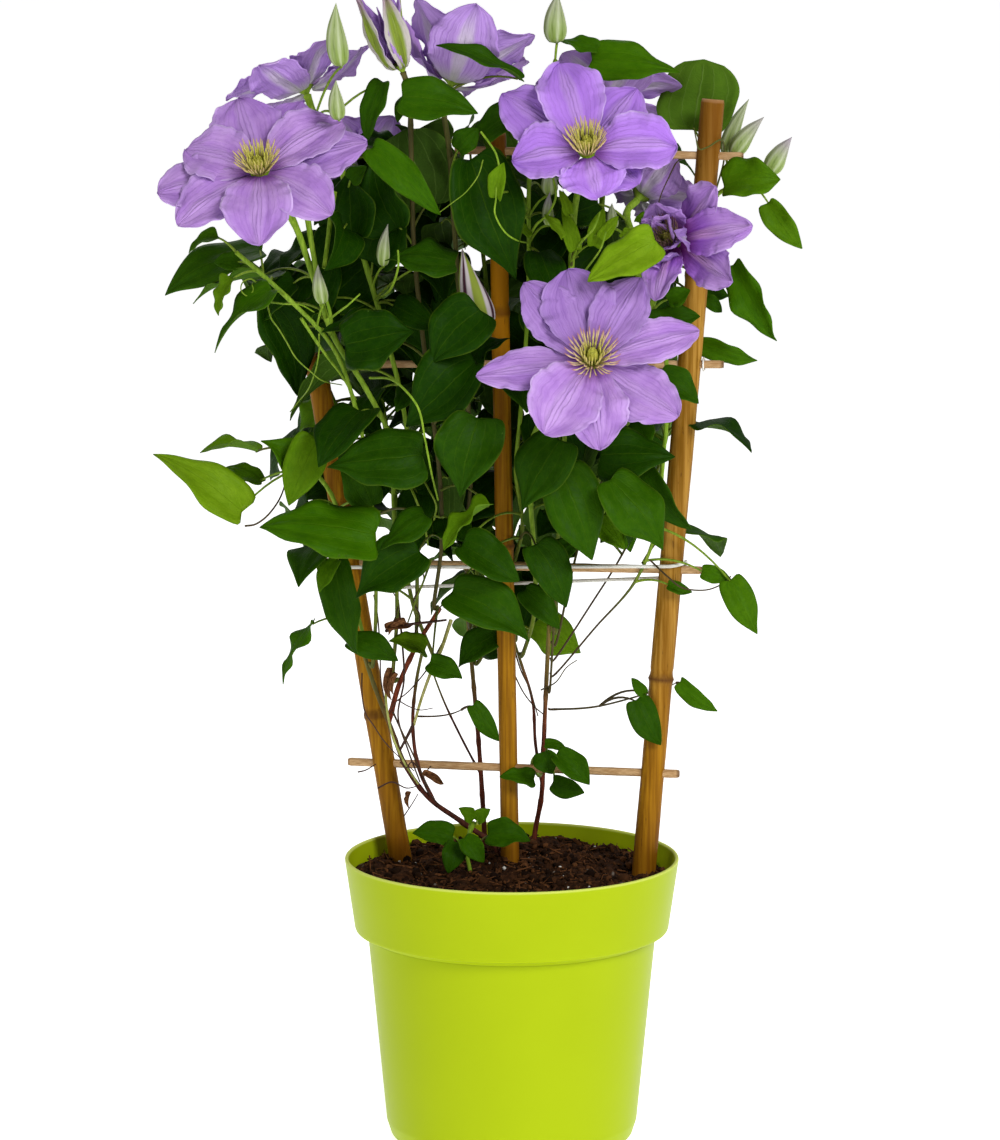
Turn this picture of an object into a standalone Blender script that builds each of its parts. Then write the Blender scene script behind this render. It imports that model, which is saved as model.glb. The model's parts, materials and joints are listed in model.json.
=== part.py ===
"""A clematis in a pot, climbing a fan trellis of bamboo canes.

Lengths are millimetres until a mesh is made, then metres. +Z is up, the front of the plant faces -Y, and
the origin is the centre of the pot's flat bottom. Leaves, stems and blooms are placed in a front view, a
frame 1000 units wide and 1140 tall that is seen from VIEW_DISTANCE away and VIEW_RAISE above the pot's rim.
Each of their points is (across, down, depth): two places in the view, and millimetres behind the pot's axis.
"""

import math

import bmesh
import bpy
import numpy as np
from mathutils import Matrix, Vector
from mathutils.bvhtree import BVHTree

MM = 0.001
GAP = 0.3
UP = np.array([0.0, 0.0, 1.0])

# The front view
VIEW_DISTANCE = 2800.0
VIEW_RAISE = math.radians(12.3)
VIEW_PITCH = math.radians(8.62)
VIEW_SIDE = -7.4
VIEW_FOCUS = 4443.0
VIEW_CENTRE = (500.0, 570.0)

# Pot: a tapered body, a step out to a collar, one wall thickness all over
POT_HEIGHT = 180.0
RIM_RADIUS = 105.0
COLLAR_FOOT = (98.7, 135.3)
SHOULDER = (90.3, 127.0)
BODY_FOOT = (79.2, 11.7)
BASE_RADIUS = 73.5
WALL = 2.5
POT_TURNS = 30

# Soil
SOIL_TOP = 169.0
SOIL_FLOOR = WALL + GAP

# Canes: foot, top, radius at the foot, radius at the top, heights of the joints in the bamboo
CANES = {
    "cane_left": ((-48.2, 39.1, 32), (-124.5, 52, 492), 7.3, 6.9, (262, 395)),
    "cane_middle": ((1.7, 23.5, 28), (-9.3, 33.2, 632), 5.9, 5.6, (373, 520)),
    "cane_right": ((80.2, 3.5, 133), (123.7, 12, 653), 7.5, 7.2, (292, 545)),
}
CANE_SIDES = 8
JOINT_SWELL = 0.9

# Rungs: left end, right end; each passes through the canes that stand in its way
RUNG_RADIUS = 2.7
RUNGS = {
    "rung_1": ((-104, 50, 230.5), (105, 1.2, 232.2)),
    "rung_2": ((-117.7, 51.4, 359.2), (118.9, 3.2, 361.1)),
    "rung_3": ((-133.4, 53.7, 485), (131.1, 5.5, 489.8)),
    "rung_4": ((-35.4, 37.4, 620.5), (142.4, 7.8, 618.2)),
}

# The elastic band round the outer canes
TIE_RADIUS = 1.1
TIE_HEIGHTS = {"left_front": 357.5, "left_out": 350.0, "left_back": 341.0,
               "right_front": 364.2, "right_out": 366.3, "right_back": 354.6}

# Rings on the third rung: radius, thickness, and where each sits
CLIP_RADIUS = 3.9
CLIP_WIRE = 0.6
CLIPS = {"clip_left": -131.9, "clip_right": 119.0}

COLOURS = {
    "lime plastic": ((0.50, 0.70, 0.02), 0.35),
    "soil": ((0.035, 0.018, 0.010), 0.95),
    "bamboo": ((0.42, 0.17, 0.035), 0.45),
    "rung wood": ((0.60, 0.38, 0.17), 0.55),
    "elastic": ((0.80, 0.78, 0.70), 0.60),
    "bark": ((0.15, 0.07, 0.04), 0.80),
    "leaf": ((0.05, 0.17, 0.02), 0.40),
    "sepal": ((0.40, 0.22, 0.68), 0.60),
    "stamen": ((0.55, 0.58, 0.22), 0.60),
}


# Woody stems: radius at the foot, main stem, branches. Each stem's first place is its foot in the soil
WOODY = {
    "woody_left": (2.6, [(497, 851, 30), (470, 828, 30), (440, 806, 30), (418, 788, 30), (403, 760, 26),
                         (386, 715, 26), (372, 680, 28), (362, 648, 30)],
                   [[(390, 722, 26), (394, 698, 24), (408, 664, 22), (422, 636, 24), (440, 608, 28)],
                    [(434, 802, 30), (420, 772, 24), (413, 735, 27), (415, 690, 34), (425, 640, 36)]]),
    "woody_right": (2.1, [(533, 846, 62), (541, 800, 54), (543, 765, 48), (546, 690, 40), (549, 625, 34)],
                    [[(541, 785, 51), (535, 740, 52), (531, 690, 52), (516, 650, 50), (508, 622, 48)]]),
    "woody_back": (2.2, [(485, 843, 76), (480, 760, 68), (474, 690, 64), (468, 620, 62)],
                   [[(481, 775, 69), (450, 715, 72), (430, 665, 72)]]),
}

# Leafy shoots. parent: the stem that carries it. fill: how many more leaves it bears by rule. way: its places
# from the foot up. Each leaf: base across and down, tip across and down, width, depth of the base, how much
# further back the tip is, roll about the midrib. Each bud: base across and down, tip across and down, width, depth
SHOOTS = {
    "shoot_1": dict(parent="woody_left", fill=1,
        way=[(362, 640, 30), (352, 600, 26), (345, 560, 18), (330, 490, 6), (304, 452, -4), (280, 440, -8)],
        leaves=[(242, 512, 155, 452, 30, -16, -4, 10), (258, 452, 200, 450, 24, -2, 6, 45),
                (300, 472, 262, 440, 24, -20, -6, 15), (318, 440, 288, 505, 27, -30, -8, 0),
                (335, 560, 355, 655, 25, -8, -10, 30), (314, 622, 280, 683, 20, -4, 0, 55),
                (375, 535, 260, 524, 42, -54, -6, 8), (262, 482, 226, 466, 16, 14, 4, 20)]),
    "shoot_2": dict(parent="woody_left", fill=1,
        way=[(367, 664, 28), (376, 600, 12), (373, 520, 2), (365, 450, -4), (350, 390, -8), (325, 335, -12),
             (272, 284, -16), (236, 252, -18)],
        leaves=[(232, 278, 217, 315, 15, -24, -4, 40), (264, 276, 192, 300, 20, -6, 4, 62),
                (272, 290, 212, 350, 28, -28, -6, 45), (262, 250, 163, 292, 34, 6, 6, 12),
                (425, 515, 380, 548, 22, -46, -6, 20)],
        buds=[(323, 300, 318, 265, 9, -22)]),
    "shoot_3": dict(parent="woody_left", bloom="bloom_1", fill=1,
        way=[(401, 680, 22), (397, 610, 16), (394, 520, 8), (388, 422, -2), (352, 372, -4), (327, 320, -2),
             (308, 260, -4), (290, 215, -10)],
        leaves=[(268, 305, 299, 396, 32, 22, 8, -10), (345, 345, 413, 330, 42, -38, -4, 0),
                (422, 455, 327, 465, 42, -60, -4, 0), (300, 310, 336, 250, 34, 30, 6, 0),
                (350, 640, 398, 660, 18, 8, -6, 10)]),
    "shoot_4": dict(parent="woody_left", bloom="bloom_5", fill=1,
        way=[(425, 642, 37), (418, 600, 32), (414, 500, 22), (402, 400, 18), (376, 300, 14), (347, 200, 14),
             (333, 130, 12), (320, 105, 10)],
        leaves=[(372, 148, 440, 215, 20, -34, -8, 30), (330, 300, 385, 248, 34, 34, 6, 0),
                (455, 262, 385, 258, 30, -30, 0, 20), (383, 82, 366, 140, 17, -10, -4, 20),
                (425, 650, 390, 640, 18, 20, -10, 15)],
        buds=[(384, 262, 388, 224, 8, -6), (339, 116, 336, 80, 10, -42), (341, 60, 336, 3, 13, -34)]),
    "shoot_5": dict(parent="woody_left", bloom="bloom_8", fill=1,
        way=[(440, 608, 28), (441, 560, 22), (440, 480, 12), (428, 380, 6), (414, 250, 2), (411, 130, 0),
             (405, 90, -4)],
        leaves=[(430, 205, 405, 130, 50, 6, 8, 172), (402, 96, 478, 112, 27, -22, -4, 10),
                (478, 418, 460, 497, 40, -62, -10, 0), (490, 505, 442, 548, 24, -56, -6, 40),
                (420, 552, 355, 597, 34, -50, -6, 0), (430, 662, 462, 678, 15, -4, -6, 10)]),
    "shoot_6": dict(parent="woody_back", bloom="bloom_6", fill=1,
        way=[(468, 622, 62), (466, 540, 44), (472, 470, 20), (466, 380, 4), (456, 250, -2), (450, 160, 4),
             (450, 105, 8)],
        leaves=[(480, 310, 432, 362, 38, -44, -6, 0), (475, 362, 405, 425, 42, -50, -6, 0),
                (470, 160, 517, 278, 46, -22, -8, 0), (520, 80, 438, 42, 16, 2, -6, 25),
                (482, 134, 530, 95, 20, -12, 0, 10)],
        buds=[(486, 318, 462, 248, 17, -28)]),
    "shoot_7": dict(parent="woody_right", fill=1,
        way=[(511, 636, 49), (507, 596, 34), (509, 550, 32), (513, 480, 22), (520, 420, 14), (528, 300, 10),
             (530, 165, 12), (542, 100, 14), (556, 60, 12)],
        leaves=[(462, 545, 520, 580, 28, -44, -6, 0), (452, 592, 530, 640, 32, -38, -8, 0),
                (497, 635, 458, 666, 22, -8, -4, 10), (535, 545, 567, 607, 26, -34, -6, 0),
                (499, 200, 485, 138, 10, -34, -6, 30)],
        buds=[(557, 38, 558, -8, 14, 8), (551, 192, 550, 166, 10, -14), (549, 222, 550, 192, 7, -20)]),
    "shoot_8": dict(parent="woody_right", bloom="bloom_2", fill=1,
        way=[(549, 627, 34), (556, 560, 26), (562, 480, 10), (566, 400, 2), (572, 250, -4),
             (577, 195, -12)],
        leaves=[(575, 250, 562, 208, 10, -22, 0, 0), (594, 246, 604, 208, 11, -20, 0, 0),
                (560, 440, 521, 510, 34, -50, -6, 0), (560, 470, 593, 560, 36, -46, -8, 0),
                (525, 590, 560, 628, 18, 0, -6, 0)]),
    "shoot_9": dict(parent="woody_right", bloom="bloom_9", fill=1,
        way=[(549, 642, 36), (580, 540, 34), (606, 470, 24), (634, 400, 14), (640, 300, 10),
             (632, 225, 12)],
        leaves=[(655, 240, 587, 280, 28, -52, -6, 0), (600, 455, 675, 455, 36, -28, -4, 0),
                (610, 480, 664, 549, 36, -52, -6, 0), (600, 520, 625, 549, 16, -14, -4, 0),
                (615, 500, 631, 552, 20, 8, -4, 0)],
        buds=[(614, 226, 612, 203, 7, -4)]),
    "shoot_10": dict(parent="woody_right", bloom="bloom_3", fill=0,
        way=[(516, 654, 50), (536, 600, 14), (532, 520, -4), (530, 450, -18), (555, 400, -40),
             (580, 376, -58)],
        leaves=[(552, 560, 578, 540, 16, 0, 0, 10)]),
    "shoot_11": dict(parent="woody_right", fill=1,
        way=[(548, 658, 38), (600, 590, 46), (640, 520, 46), (668, 430, 40), (684, 330, 34), (694, 250, 32),
             (716, 190, 30), (738, 172, 24), (756, 176, 20)],
        leaves=[(724, 186, 780, 178, 32, 0, -4, 0), (768, 203, 802, 249, 16, 14, 0, 30),
                (733, 265, 775, 342, 22, 14, -6, 48), (700, 290, 729, 296, 12, 28, 0, 10),
                (700, 345, 757, 362, 15, 24, 0, 60), (693, 130, 705, 60, 52, 30, 8, 165)],
        buds=[(728, 150, 749, 99, 10, 33), (736, 152, 764, 117, 11, 21), (772, 170, 792, 137, 12, 18)]),
    "shoot_12": dict(parent="woody_right", fill=1,
        way=[(548, 672, 39), (610, 610, 20), (650, 560, 2), (662, 470, -8), (668, 390, -10),
             (664, 330, -6)],
        leaves=[(640, 470, 690, 530, 20, -16, -8, 45), (660, 375, 699, 403, 20, -28, -2, 10),
                (650, 325, 700, 315, 20, -20, 4, 0), (702, 572, 731, 579, 11, -12, 0, 20),
                (730, 580, 757, 634, 19, -16, -6, 20)]),
    "shoot_13": dict(parent="woody_right", bloom="bloom_4", fill=1,
        way=[(547, 686, 40), (562, 560, 12), (604, 470, 4), (632, 380, -2), (652, 310, -2), (664, 272, -8)],
        leaves=[(628, 330, 655, 356, 18, -20, -4, 0)]),
    "shoot_14": dict(parent="woody_right", fill=0,
        way=[(546, 708, 42), (600, 706, 30), (634, 700, 14), (652, 690, 4), (676, 683, 2)],
        leaves=[(636, 700, 661, 745, 19, -4, -4, 10), (645, 694, 632, 678, 8, -2, 0, 0),
                (680, 682, 717, 712, 12, 0, -2, 45)]),
    "shoot_15": dict(parent="woody_left", fill=0,
        way=[(405, 716, 42), (430, 717, 24), (455, 713, 12), (466, 708, 8)],
        leaves=[(473, 705, 499, 741, 13, 2, -2, 10)]),
    "shoot_16": dict(parent="woody_right", fill=0,
        way=[(542, 772, 49), (532, 764, 30), (541, 755, 14), (552, 762, 10)],
        leaves=[(534, 779, 500, 776, 14, 18, -6, 10), (543, 752, 552, 774, 16, 4, -2, 20),
                (556, 755, 590, 784, 18, 2, -4, 0), (553, 782, 584, 793, 14, 12, -4, 30),
                (545, 744, 566, 748, 8, 14, 0, 0)]),
    "shoot_17": dict(parent="woody_back", bloom="bloom_10", fill=4,
        way=[(430, 665, 72), (412, 600, 76), (396, 500, 84), (382, 400, 82), (370, 300, 68),
             (366, 232, 52)],
        leaves=[(335, 400, 298, 432, 24, 70, 6, 20), (372, 480, 300, 500, 32, 66, 6, 0)]),
    "shoot_18": dict(parent="woody_back", fill=5,
        way=[(469, 634, 62), (480, 520, 80), (490, 400, 86), (486, 280, 82), (472, 180, 66)],
        leaves=[]),
    "shoot_19": dict(parent="woody_back", bloom="bloom_7", fill=5,
        way=[(472, 662, 63), (520, 580, 84), (572, 470, 92), (596, 360, 94), (600, 240, 92),
             (606, 130, 62)],
        leaves=[(525, 620, 582, 652, 30, 58, 8, 0), (592, 60, 680, 70, 27, 30, 4, 0),
                (598, 48, 560, 40, 12, 40, 4, 10)]),
    "basal_sprig": dict(parent=None, fill=0,
        way=[(470, 868, 4), (467, 852, 4), (465, 836, 2), (474, 822, 4)],
        leaves=[(453, 836, 413, 832, 19, -4, -4, 10), (456, 842, 448, 873, 15, -14, -8, 0),
                (464, 838, 484, 862, 14, -12, -6, 0), (488, 834, 530, 840, 19, 0, -4, 0),
                (473, 820, 459, 808, 9, 6, 0, 0), (477, 821, 490, 809, 9, 6, 0, 0)]),
}

# Blooms. centre in the view, the way it faces, height of the sepals' tips, sepal width, and either the places
# of the tips in the view or (count, reach, first angle) for sepals at even angles
BLOOMS = {
    "bloom_1": dict(centre=(260, 163, -45), face=(-0.1, -0.72, 0.68), rise=2, width=40,
        tips=[(365, 140), (330, 212), (258, 242), (178, 222), (158, 190), (186, 148), (238, 97),
              (300, 100)]),
    "bloom_2": dict(centre=(587, 140, -50), face=(-0.05, -0.8, 0.6), rise=2, width=38,
        tips=[(676, 145), (638, 182), (598, 196), (513, 160), (503, 92), (560, 62), (636, 88)]),
    "bloom_3": dict(centre=(592, 360, -85), face=(0.02, -0.93, 0.35), rise=2, width=37,
        tips=[(698, 330), (677, 415), (600, 448), (545, 432), (478, 375), (525, 283), (568, 270),
              (640, 278)]),
    "bloom_4": dict(centre=(674, 240, -30), face=(-0.45, -0.8, 0.15), rise=20, width=28,
        tips=[(747, 225), (728, 280), (654, 298), (640, 250), (655, 205), (712, 188)]),
    "bloom_5": dict(centre=(305, 90, 8), face=(-0.35, 0.3, 0.85), rise=14, width=34, ring=(6, 46, 15)),
    "bloom_6": dict(centre=(452, 82, 10), face=(0.28, 0.38, 0.88), rise=38, width=40, ring=(6, 42, 10)),
    "bloom_7": dict(centre=(606, 92, 40), face=(0.1, 0.55, 0.8), rise=12, width=36, ring=(6, 44, 0)),
    "bloom_8": dict(centre=(401, 66, -20), face=(-0.3, -0.1, 0.95), rise=50, width=15, ring=(5, 13, 0)),
    "bloom_9": dict(centre=(640, 196, 46), face=(0.45, 0.6, 0.55), rise=16, width=30, ring=(6, 34, 20)),
    "bloom_10": dict(centre=(364, 172, 70), face=(-0.15, 0.88, 0.4), rise=8, width=32, ring=(7, 40, 13)),
}
CLOSED = {"bloom_8"}

# Room kept between stems, and between a leaf and any other piece
STEM_CLEARANCE = 1.4
LEAF_CLEARANCE = 1.1

# Shoots, leaf stalks and leaves
SHOOT_RADIUS = 1.25
STALK_RADIUS = 0.75
STALK_HALF = 0.75
BLADE = 0.8
LONG_STALK = 34.0
SMALL_LEAF = 16
BIG_LEAF = 34
LEAF_OUTLINE = (1.43, 0.55, 1.1)
LEAF_ARCH = 0.28
LEAF_WAVE = 0.16
FILLING_LEAF = dict(length=47, spread=9, width=0.66, reach=24, rise=10, droop=24)
ROOTED = 18.0
LEAF_NUMBERS = 40
TOWARD_VIEW = np.array([0.0, -0.8, 0.6])

# Blooms: sepals on a receptacle, stamens on a short column
SEPAL_ROOT = 4.2
SEPAL_LAYER = 1.6
SEPAL_BELLY = 0.05
SEPAL_CURL = 0.008
SEPAL_ROWS = np.array([0, 0.38, 0.76, 1])
RECEPTACLE_TOP = 1.2
RECEPTACLE_FOOT = -3.6
RECEPTACLE_RADII = (2.6, 6.4)
BLOOM_NECK = 14
COLUMN_HEIGHT = 3.4
STAMEN_SIDES = 3
OPEN_STAMENS = ((8, 54, 14), (6, 26, 16))
FEW_STAMENS = ((4, 44, 14), (3, 22, 16))

# How far a leaf is turned, pushed back, leaned, and its stalk dropped, while it looks for room
TURNS = (0, 14, -14, 30, -30, 50, -50)
PUSHES = (0, -6, 6, -12, 12, -20, 20, -30, 30, -42, 42)
LEANS = (0, -10, 10, 22)
DROPS = (14, 28, 2, 45, 65, -12)


def at(across, down, depth):
    """The point seen at a place in the front view, at a depth behind the pot's axis."""
    right = (across - VIEW_CENTRE[0]) / VIEW_FOCUS
    up = (VIEW_CENTRE[1] - down) / VIEW_FOCUS
    back, raised = VIEW_DISTANCE * math.cos(VIEW_RAISE), VIEW_DISTANCE * math.sin(VIEW_RAISE)
    eye = np.array([VIEW_SIDE, -back, POT_HEIGHT + raised])
    cos, sin = math.cos(VIEW_PITCH), math.sin(VIEW_PITCH)
    ray = np.array([right, cos + up * sin, up * cos - sin])
    return eye + ray * (depth - eye[1]) / ray[1]


def unit(vector):
    return vector / np.linalg.norm(vector)


def start_scene():
    for thing in list(bpy.data.objects):
        bpy.data.objects.remove(thing, do_unlink=True)
    collection = bpy.data.collections.new("clematis")
    bpy.context.scene.collection.children.link(collection)
    return collection


def material(name):
    colour, roughness = COLOURS[name]
    made = bpy.data.materials.get(name) or bpy.data.materials.new(name)
    made.use_nodes = True
    shader = made.node_tree.nodes["Principled BSDF"]
    shader.inputs["Base Color"].default_value = (*colour, 1.0)
    shader.inputs["Roughness"].default_value = roughness
    return made


def new_object(name, mesh, finish):
    """An object in the plant's collection; its mesh is already in the plant's own frame."""
    piece = bpy.data.objects.new(name, mesh)
    mesh.materials.clear()
    mesh.materials.append(material(finish))
    bpy.data.collections["clematis"].objects.link(piece)
    return piece


def baked(piece):
    """The mesh that an object's modifiers or curve settings make, with coinciding points welded."""
    bpy.context.view_layer.update()
    mesh = bpy.data.meshes.new_from_object(piece.evaluated_get(bpy.context.evaluated_depsgraph_get()))
    shape = bmesh.new()
    shape.from_mesh(mesh)
    bmesh.ops.remove_doubles(shape, verts=shape.verts, dist=1e-7)
    shape.to_mesh(mesh)
    shape.free()
    return mesh


def apply_modifiers(piece, finish):
    mesh = baked(piece)
    piece.modifiers.clear()
    piece.data = mesh
    mesh.materials.clear()
    mesh.materials.append(material(finish))
    return piece


def combine(piece, others, finish, operation="UNION", solver="EXACT"):
    """One Boolean on a collection of objects, applied; the collection's objects are then removed."""
    group = bpy.data.collections.new("to combine")
    bpy.context.scene.collection.children.link(group)
    for other in others:
        bpy.data.collections["clematis"].objects.unlink(other)
        group.objects.link(other)
    change = piece.modifiers.new(operation.lower(), "BOOLEAN")
    change.operation = operation
    change.operand_type = "COLLECTION"
    change.collection = group
    change.solver = solver
    apply_modifiers(piece, finish)
    for other in others:
        bpy.data.objects.remove(other, do_unlink=True)
    bpy.data.collections.remove(group)
    return piece


def tube(name, points, radii, finish, resolution=0, closed=False):
    """A round bar along a line of points: a curve with a bevel and filled caps, made a mesh."""
    curve = bpy.data.curves.new(name, "CURVE")
    curve.dimensions = "3D"
    curve.bevel_depth = MM
    curve.bevel_resolution = resolution
    curve.use_fill_caps = True
    line = curve.splines.new("POLY")
    line.points.add(len(points) - 1)
    line.use_cyclic_u = closed
    for point, place, radius in zip(line.points, points, radii):
        point.co = (*(place * MM), 1.0)
        point.radius = radius
    guide = bpy.data.objects.new(name + " guide", curve)
    bpy.context.scene.collection.objects.link(guide)
    mesh = baked(guide)
    bpy.data.objects.remove(guide, do_unlink=True)
    return new_object(name, mesh, finish)


def turned(name, profile, finish, turns):
    """A turned solid: (radius, height) pairs that run down its outer side, carried round Z."""
    mesh = bpy.data.meshes.new(name)
    places = [(radius * MM, 0, height * MM) for radius, height in profile]
    mesh.from_pydata(places, [(i, i + 1) for i in range(len(places) - 1)], [])
    piece = new_object(name, mesh, finish)
    screw = piece.modifiers.new("turn", "SCREW")
    screw.steps = screw.render_steps = turns
    screw.use_merge_vertices = True
    screw.merge_threshold = 0.00001
    return apply_modifiers(piece, finish)


def smooth(points, count):
    """Evenly spaced places on a Catmull-Rom curve through the points."""
    p = np.array(points, float)
    p = np.vstack([2 * p[0] - p[1], p, 2 * p[-1] - p[-2]])
    t = np.linspace(0, 1, 12, endpoint=False)[:, None]
    curve = [0.5 * (2 * b + (c - a) * t + (2 * a - 5 * b + 4 * c - d) * t**2 + (3 * b - a - 3 * c + d) * t**3)
             for a, b, c, d in zip(p, p[1:], p[2:], p[3:])]
    curve = np.vstack([*curve, p[-2:-1]])
    run = np.concatenate([[0], np.cumsum(np.linalg.norm(np.diff(curve, axis=0), axis=1))])
    wanted = np.linspace(0, run[-1], count)
    return np.column_stack([np.interp(wanted, run, curve[:, k]) for k in range(3)])


def length_of(points):
    return np.linalg.norm(np.diff(points, axis=0), axis=1).sum()


def bent_clear(points, radius, others, held_start=1, held_end=1):
    """The points, moved until their straight stretches pass the other stems with STEM_CLEARANCE to spare."""
    starts, ends, radii = (np.array(part, float) for part in zip(*others))
    along = ends - starts
    points = points.copy()
    share = np.linspace(0, 1, 9)[:, None]
    for _ in range(60):
        samples = points[:-1, None] * (1 - share) + points[1:, None] * share
        flat = samples.reshape(-1, 1, 3)
        reach = np.clip(((flat - starts) * along).sum(2) / (along**2).sum(1), 0, 1)
        away = flat - (starts + along * reach[..., None])
        gap = np.linalg.norm(away, axis=2) + 1e-9
        short = radius + radii + STEM_CLEARANCE - gap
        worst = short.argmax(1)
        rows = np.arange(len(worst))
        push = away[rows, worst] / gap[rows, worst, None] * np.maximum(short[rows, worst], 0)[:, None]
        if not push.any():
            break
        push = push.reshape(samples.shape)
        moves = np.concatenate([np.pad(push * (1 - share), ((0, 1), (0, 0), (0, 0))),
                                np.pad(push * share, ((1, 0), (0, 0), (0, 0)))], axis=1)
        chosen = moves[np.arange(len(points)), np.linalg.norm(moves, axis=2).argmax(1)]
        chosen[:held_start] = 0
        chosen[len(points) - held_end:] = 0
        points += 1.2 * chosen
    return points


def stretches(points, radius):
    """The straight stretches of a stem, as (start, end, radius)."""
    return [(a, b, radius) for a, b in zip(points, points[1:])]


def nearest_on(points, place):
    """The place on a line of points nearest to a place."""
    a, b = points[:-1], points[1:]
    reach = np.clip(((place - a) * (b - a)).sum(1) / ((b - a) ** 2).sum(1), 0, 1)[:, None]
    near = a + (b - a) * reach
    return near[np.linalg.norm(near - place, axis=1).argmin()]


def wall_radius(height):
    """The pot's inner radius in its collar."""
    low, high = collar_inside(), (RIM_RADIUS - WALL, POT_HEIGHT - 1.0)
    return low[0] + (height - low[1]) * (high[0] - low[0]) / (high[1] - low[1])


def collar_inside():
    return COLLAR_FOOT[0] - WALL, COLLAR_FOOT[1] + WALL * math.tan(math.pi / 8)


def shoulder_inside():
    return SHOULDER[0] - WALL, SHOULDER[1] + WALL * math.tan(math.pi / 8)


def make_pot():
    inside = [(0, WALL), (BASE_RADIUS - 1, WALL), (BODY_FOOT[0] - WALL, BODY_FOOT[1]), shoulder_inside(),
              collar_inside(), (RIM_RADIUS - WALL, POT_HEIGHT - 1.0), (RIM_RADIUS - WALL + 0.7, POT_HEIGHT)]
    outside = [(RIM_RADIUS - 0.6, POT_HEIGHT), (RIM_RADIUS, POT_HEIGHT - 0.9),
               (COLLAR_FOOT[0] + 0.2, COLLAR_FOOT[1] + 1.5), COLLAR_FOOT, SHOULDER, BODY_FOOT,
               (BASE_RADIUS + 3, 3.2), (BASE_RADIUS, 0), (0, 0)]
    return turned("pot", inside + outside, "lime plastic", POT_TURNS)


def soil_height(x, y):
    """How far the soil stands above its mean level: a low mound round the stems, and lumps."""
    mound = 6.0 * math.exp(-((x - 12) ** 2 + (y - 52) ** 2) / 42**2)
    dip = -3.0 * math.exp(-((x - 84) ** 2 + (y - 4) ** 2) / 26**2)
    lumps = 1.5 * math.sin(x / 13 + 0.7) * math.cos(y / 11) + 1.1 * math.sin(x / 6.5 - y / 8)
    return mound + dip + lumps


def make_soil(cutters):
    top = [(0, SOIL_TOP), (34, SOIL_TOP), (68, SOIL_TOP),
           (wall_radius(SOIL_TOP) - 2 * GAP, SOIL_TOP - 1.5)]
    collar, shoulder = collar_inside(), shoulder_inside()
    side = [(collar[0] - GAP, collar[1] + 0.1), (shoulder[0] - GAP, shoulder[1] + 0.1),
            (BODY_FOOT[0] - WALL - GAP, BODY_FOOT[1] + 0.1), (BASE_RADIUS - 1 - GAP, SOIL_FLOOR),
            (0, SOIL_FLOOR)]
    soil = turned("soil", top + side, "soil", POT_TURNS)
    for vert in soil.data.vertices:
        x, y, z = vert.co / MM
        if z > SOIL_TOP - 0.5:
            vert.co.z += soil_height(x, y) * MM
    return combine(soil, cutters, "soil", "DIFFERENCE")


def cane_place(name, height):
    """The centre of a cane at a height."""
    foot, top = (np.array(end, float) for end in CANES[name][:2])
    return foot + (top - foot) * (height - foot[2]) / (top[2] - foot[2])


def make_cane(name):
    foot, top, foot_radius, top_radius, joints = CANES[name]
    foot, top = np.array(foot, float), np.array(top, float)
    length = np.linalg.norm(top - foot)
    profile = [(0, length), (top_radius, length)]
    for joint in sorted(joints, reverse=True):
        along = length * (joint - foot[2]) / (top[2] - foot[2])
        radius = foot_radius + (top_radius - foot_radius) * along / length
        profile += [(radius, along + 2.5), (radius + JOINT_SWELL, along), (radius, along - 2.5)]
    profile += [(foot_radius, 0), (0, 0)]
    cane = turned(name, profile, "bamboo", CANE_SIDES)
    aligned(cane.data, top - foot, foot)
    bores = [tube("bore", np.array(ends, float), [RUNG_RADIUS + 2 * GAP] * 2, "bamboo", 1)
             for ends in RUNGS.values()]
    return combine(cane, bores, "bamboo", "DIFFERENCE")


def cane_hole(name):
    """What the foot of a cane takes out of the soil."""
    foot, radius = np.array(CANES[name][0], float), CANES[name][2] + GAP
    top = cane_place(name, SOIL_TOP + 20)
    length = np.linalg.norm(top - foot)
    hole = turned("hole", [(0, length), (radius, length), (radius, -GAP), (0, -GAP)], "soil", CANE_SIDES)
    aligned(hole.data, top - foot, foot)
    return hole


def tie_line():
    """The band's middle line: round each outer cane at TIE_HEIGHTS, and straight between them."""
    h = TIE_HEIGHTS
    points = []
    for cane, first, heights in (("cane_right", 0, ("right_front", "right_out", "right_back")),
                                 ("cane_left", 180, ("left_back", "left_out", "left_front"))):
        out = CANES[cane][2] + TIE_RADIUS + 0.4
        for step in range(7):
            height = float(np.interp(step, (0, 3, 6), [h[key] for key in heights]))
            centre = cane_place(cane, height)
            row = unit((cane_place("cane_right", height) - cane_place("cane_left", height)) * (1, 1, 0))
            front = np.cross(row, UP)
            angle = math.radians(first + 30 * step)
            points.append(centre + out * (math.cos(angle) * front + math.sin(angle) * row))
    return np.array(points)


def make_clip(name, across):
    """A ring round the third rung, beside a cane."""
    left, right = (np.array(end, float) for end in RUNGS["rung_3"])
    place = left + (right - left) * (across - left[0]) / (right[0] - left[0])
    bpy.ops.mesh.primitive_torus_add(major_segments=8, minor_segments=4,
                                     major_radius=CLIP_RADIUS * MM, minor_radius=CLIP_WIRE * MM)
    ring = bpy.context.object
    mesh = ring.data
    turn = Vector(right - left).to_track_quat("Z", "Y").to_matrix().to_4x4()
    mesh.transform(Matrix.Translation(Vector(place * MM)) @ turn)
    bpy.data.objects.remove(ring, do_unlink=True)
    return new_object(name, mesh, "elastic")


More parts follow.
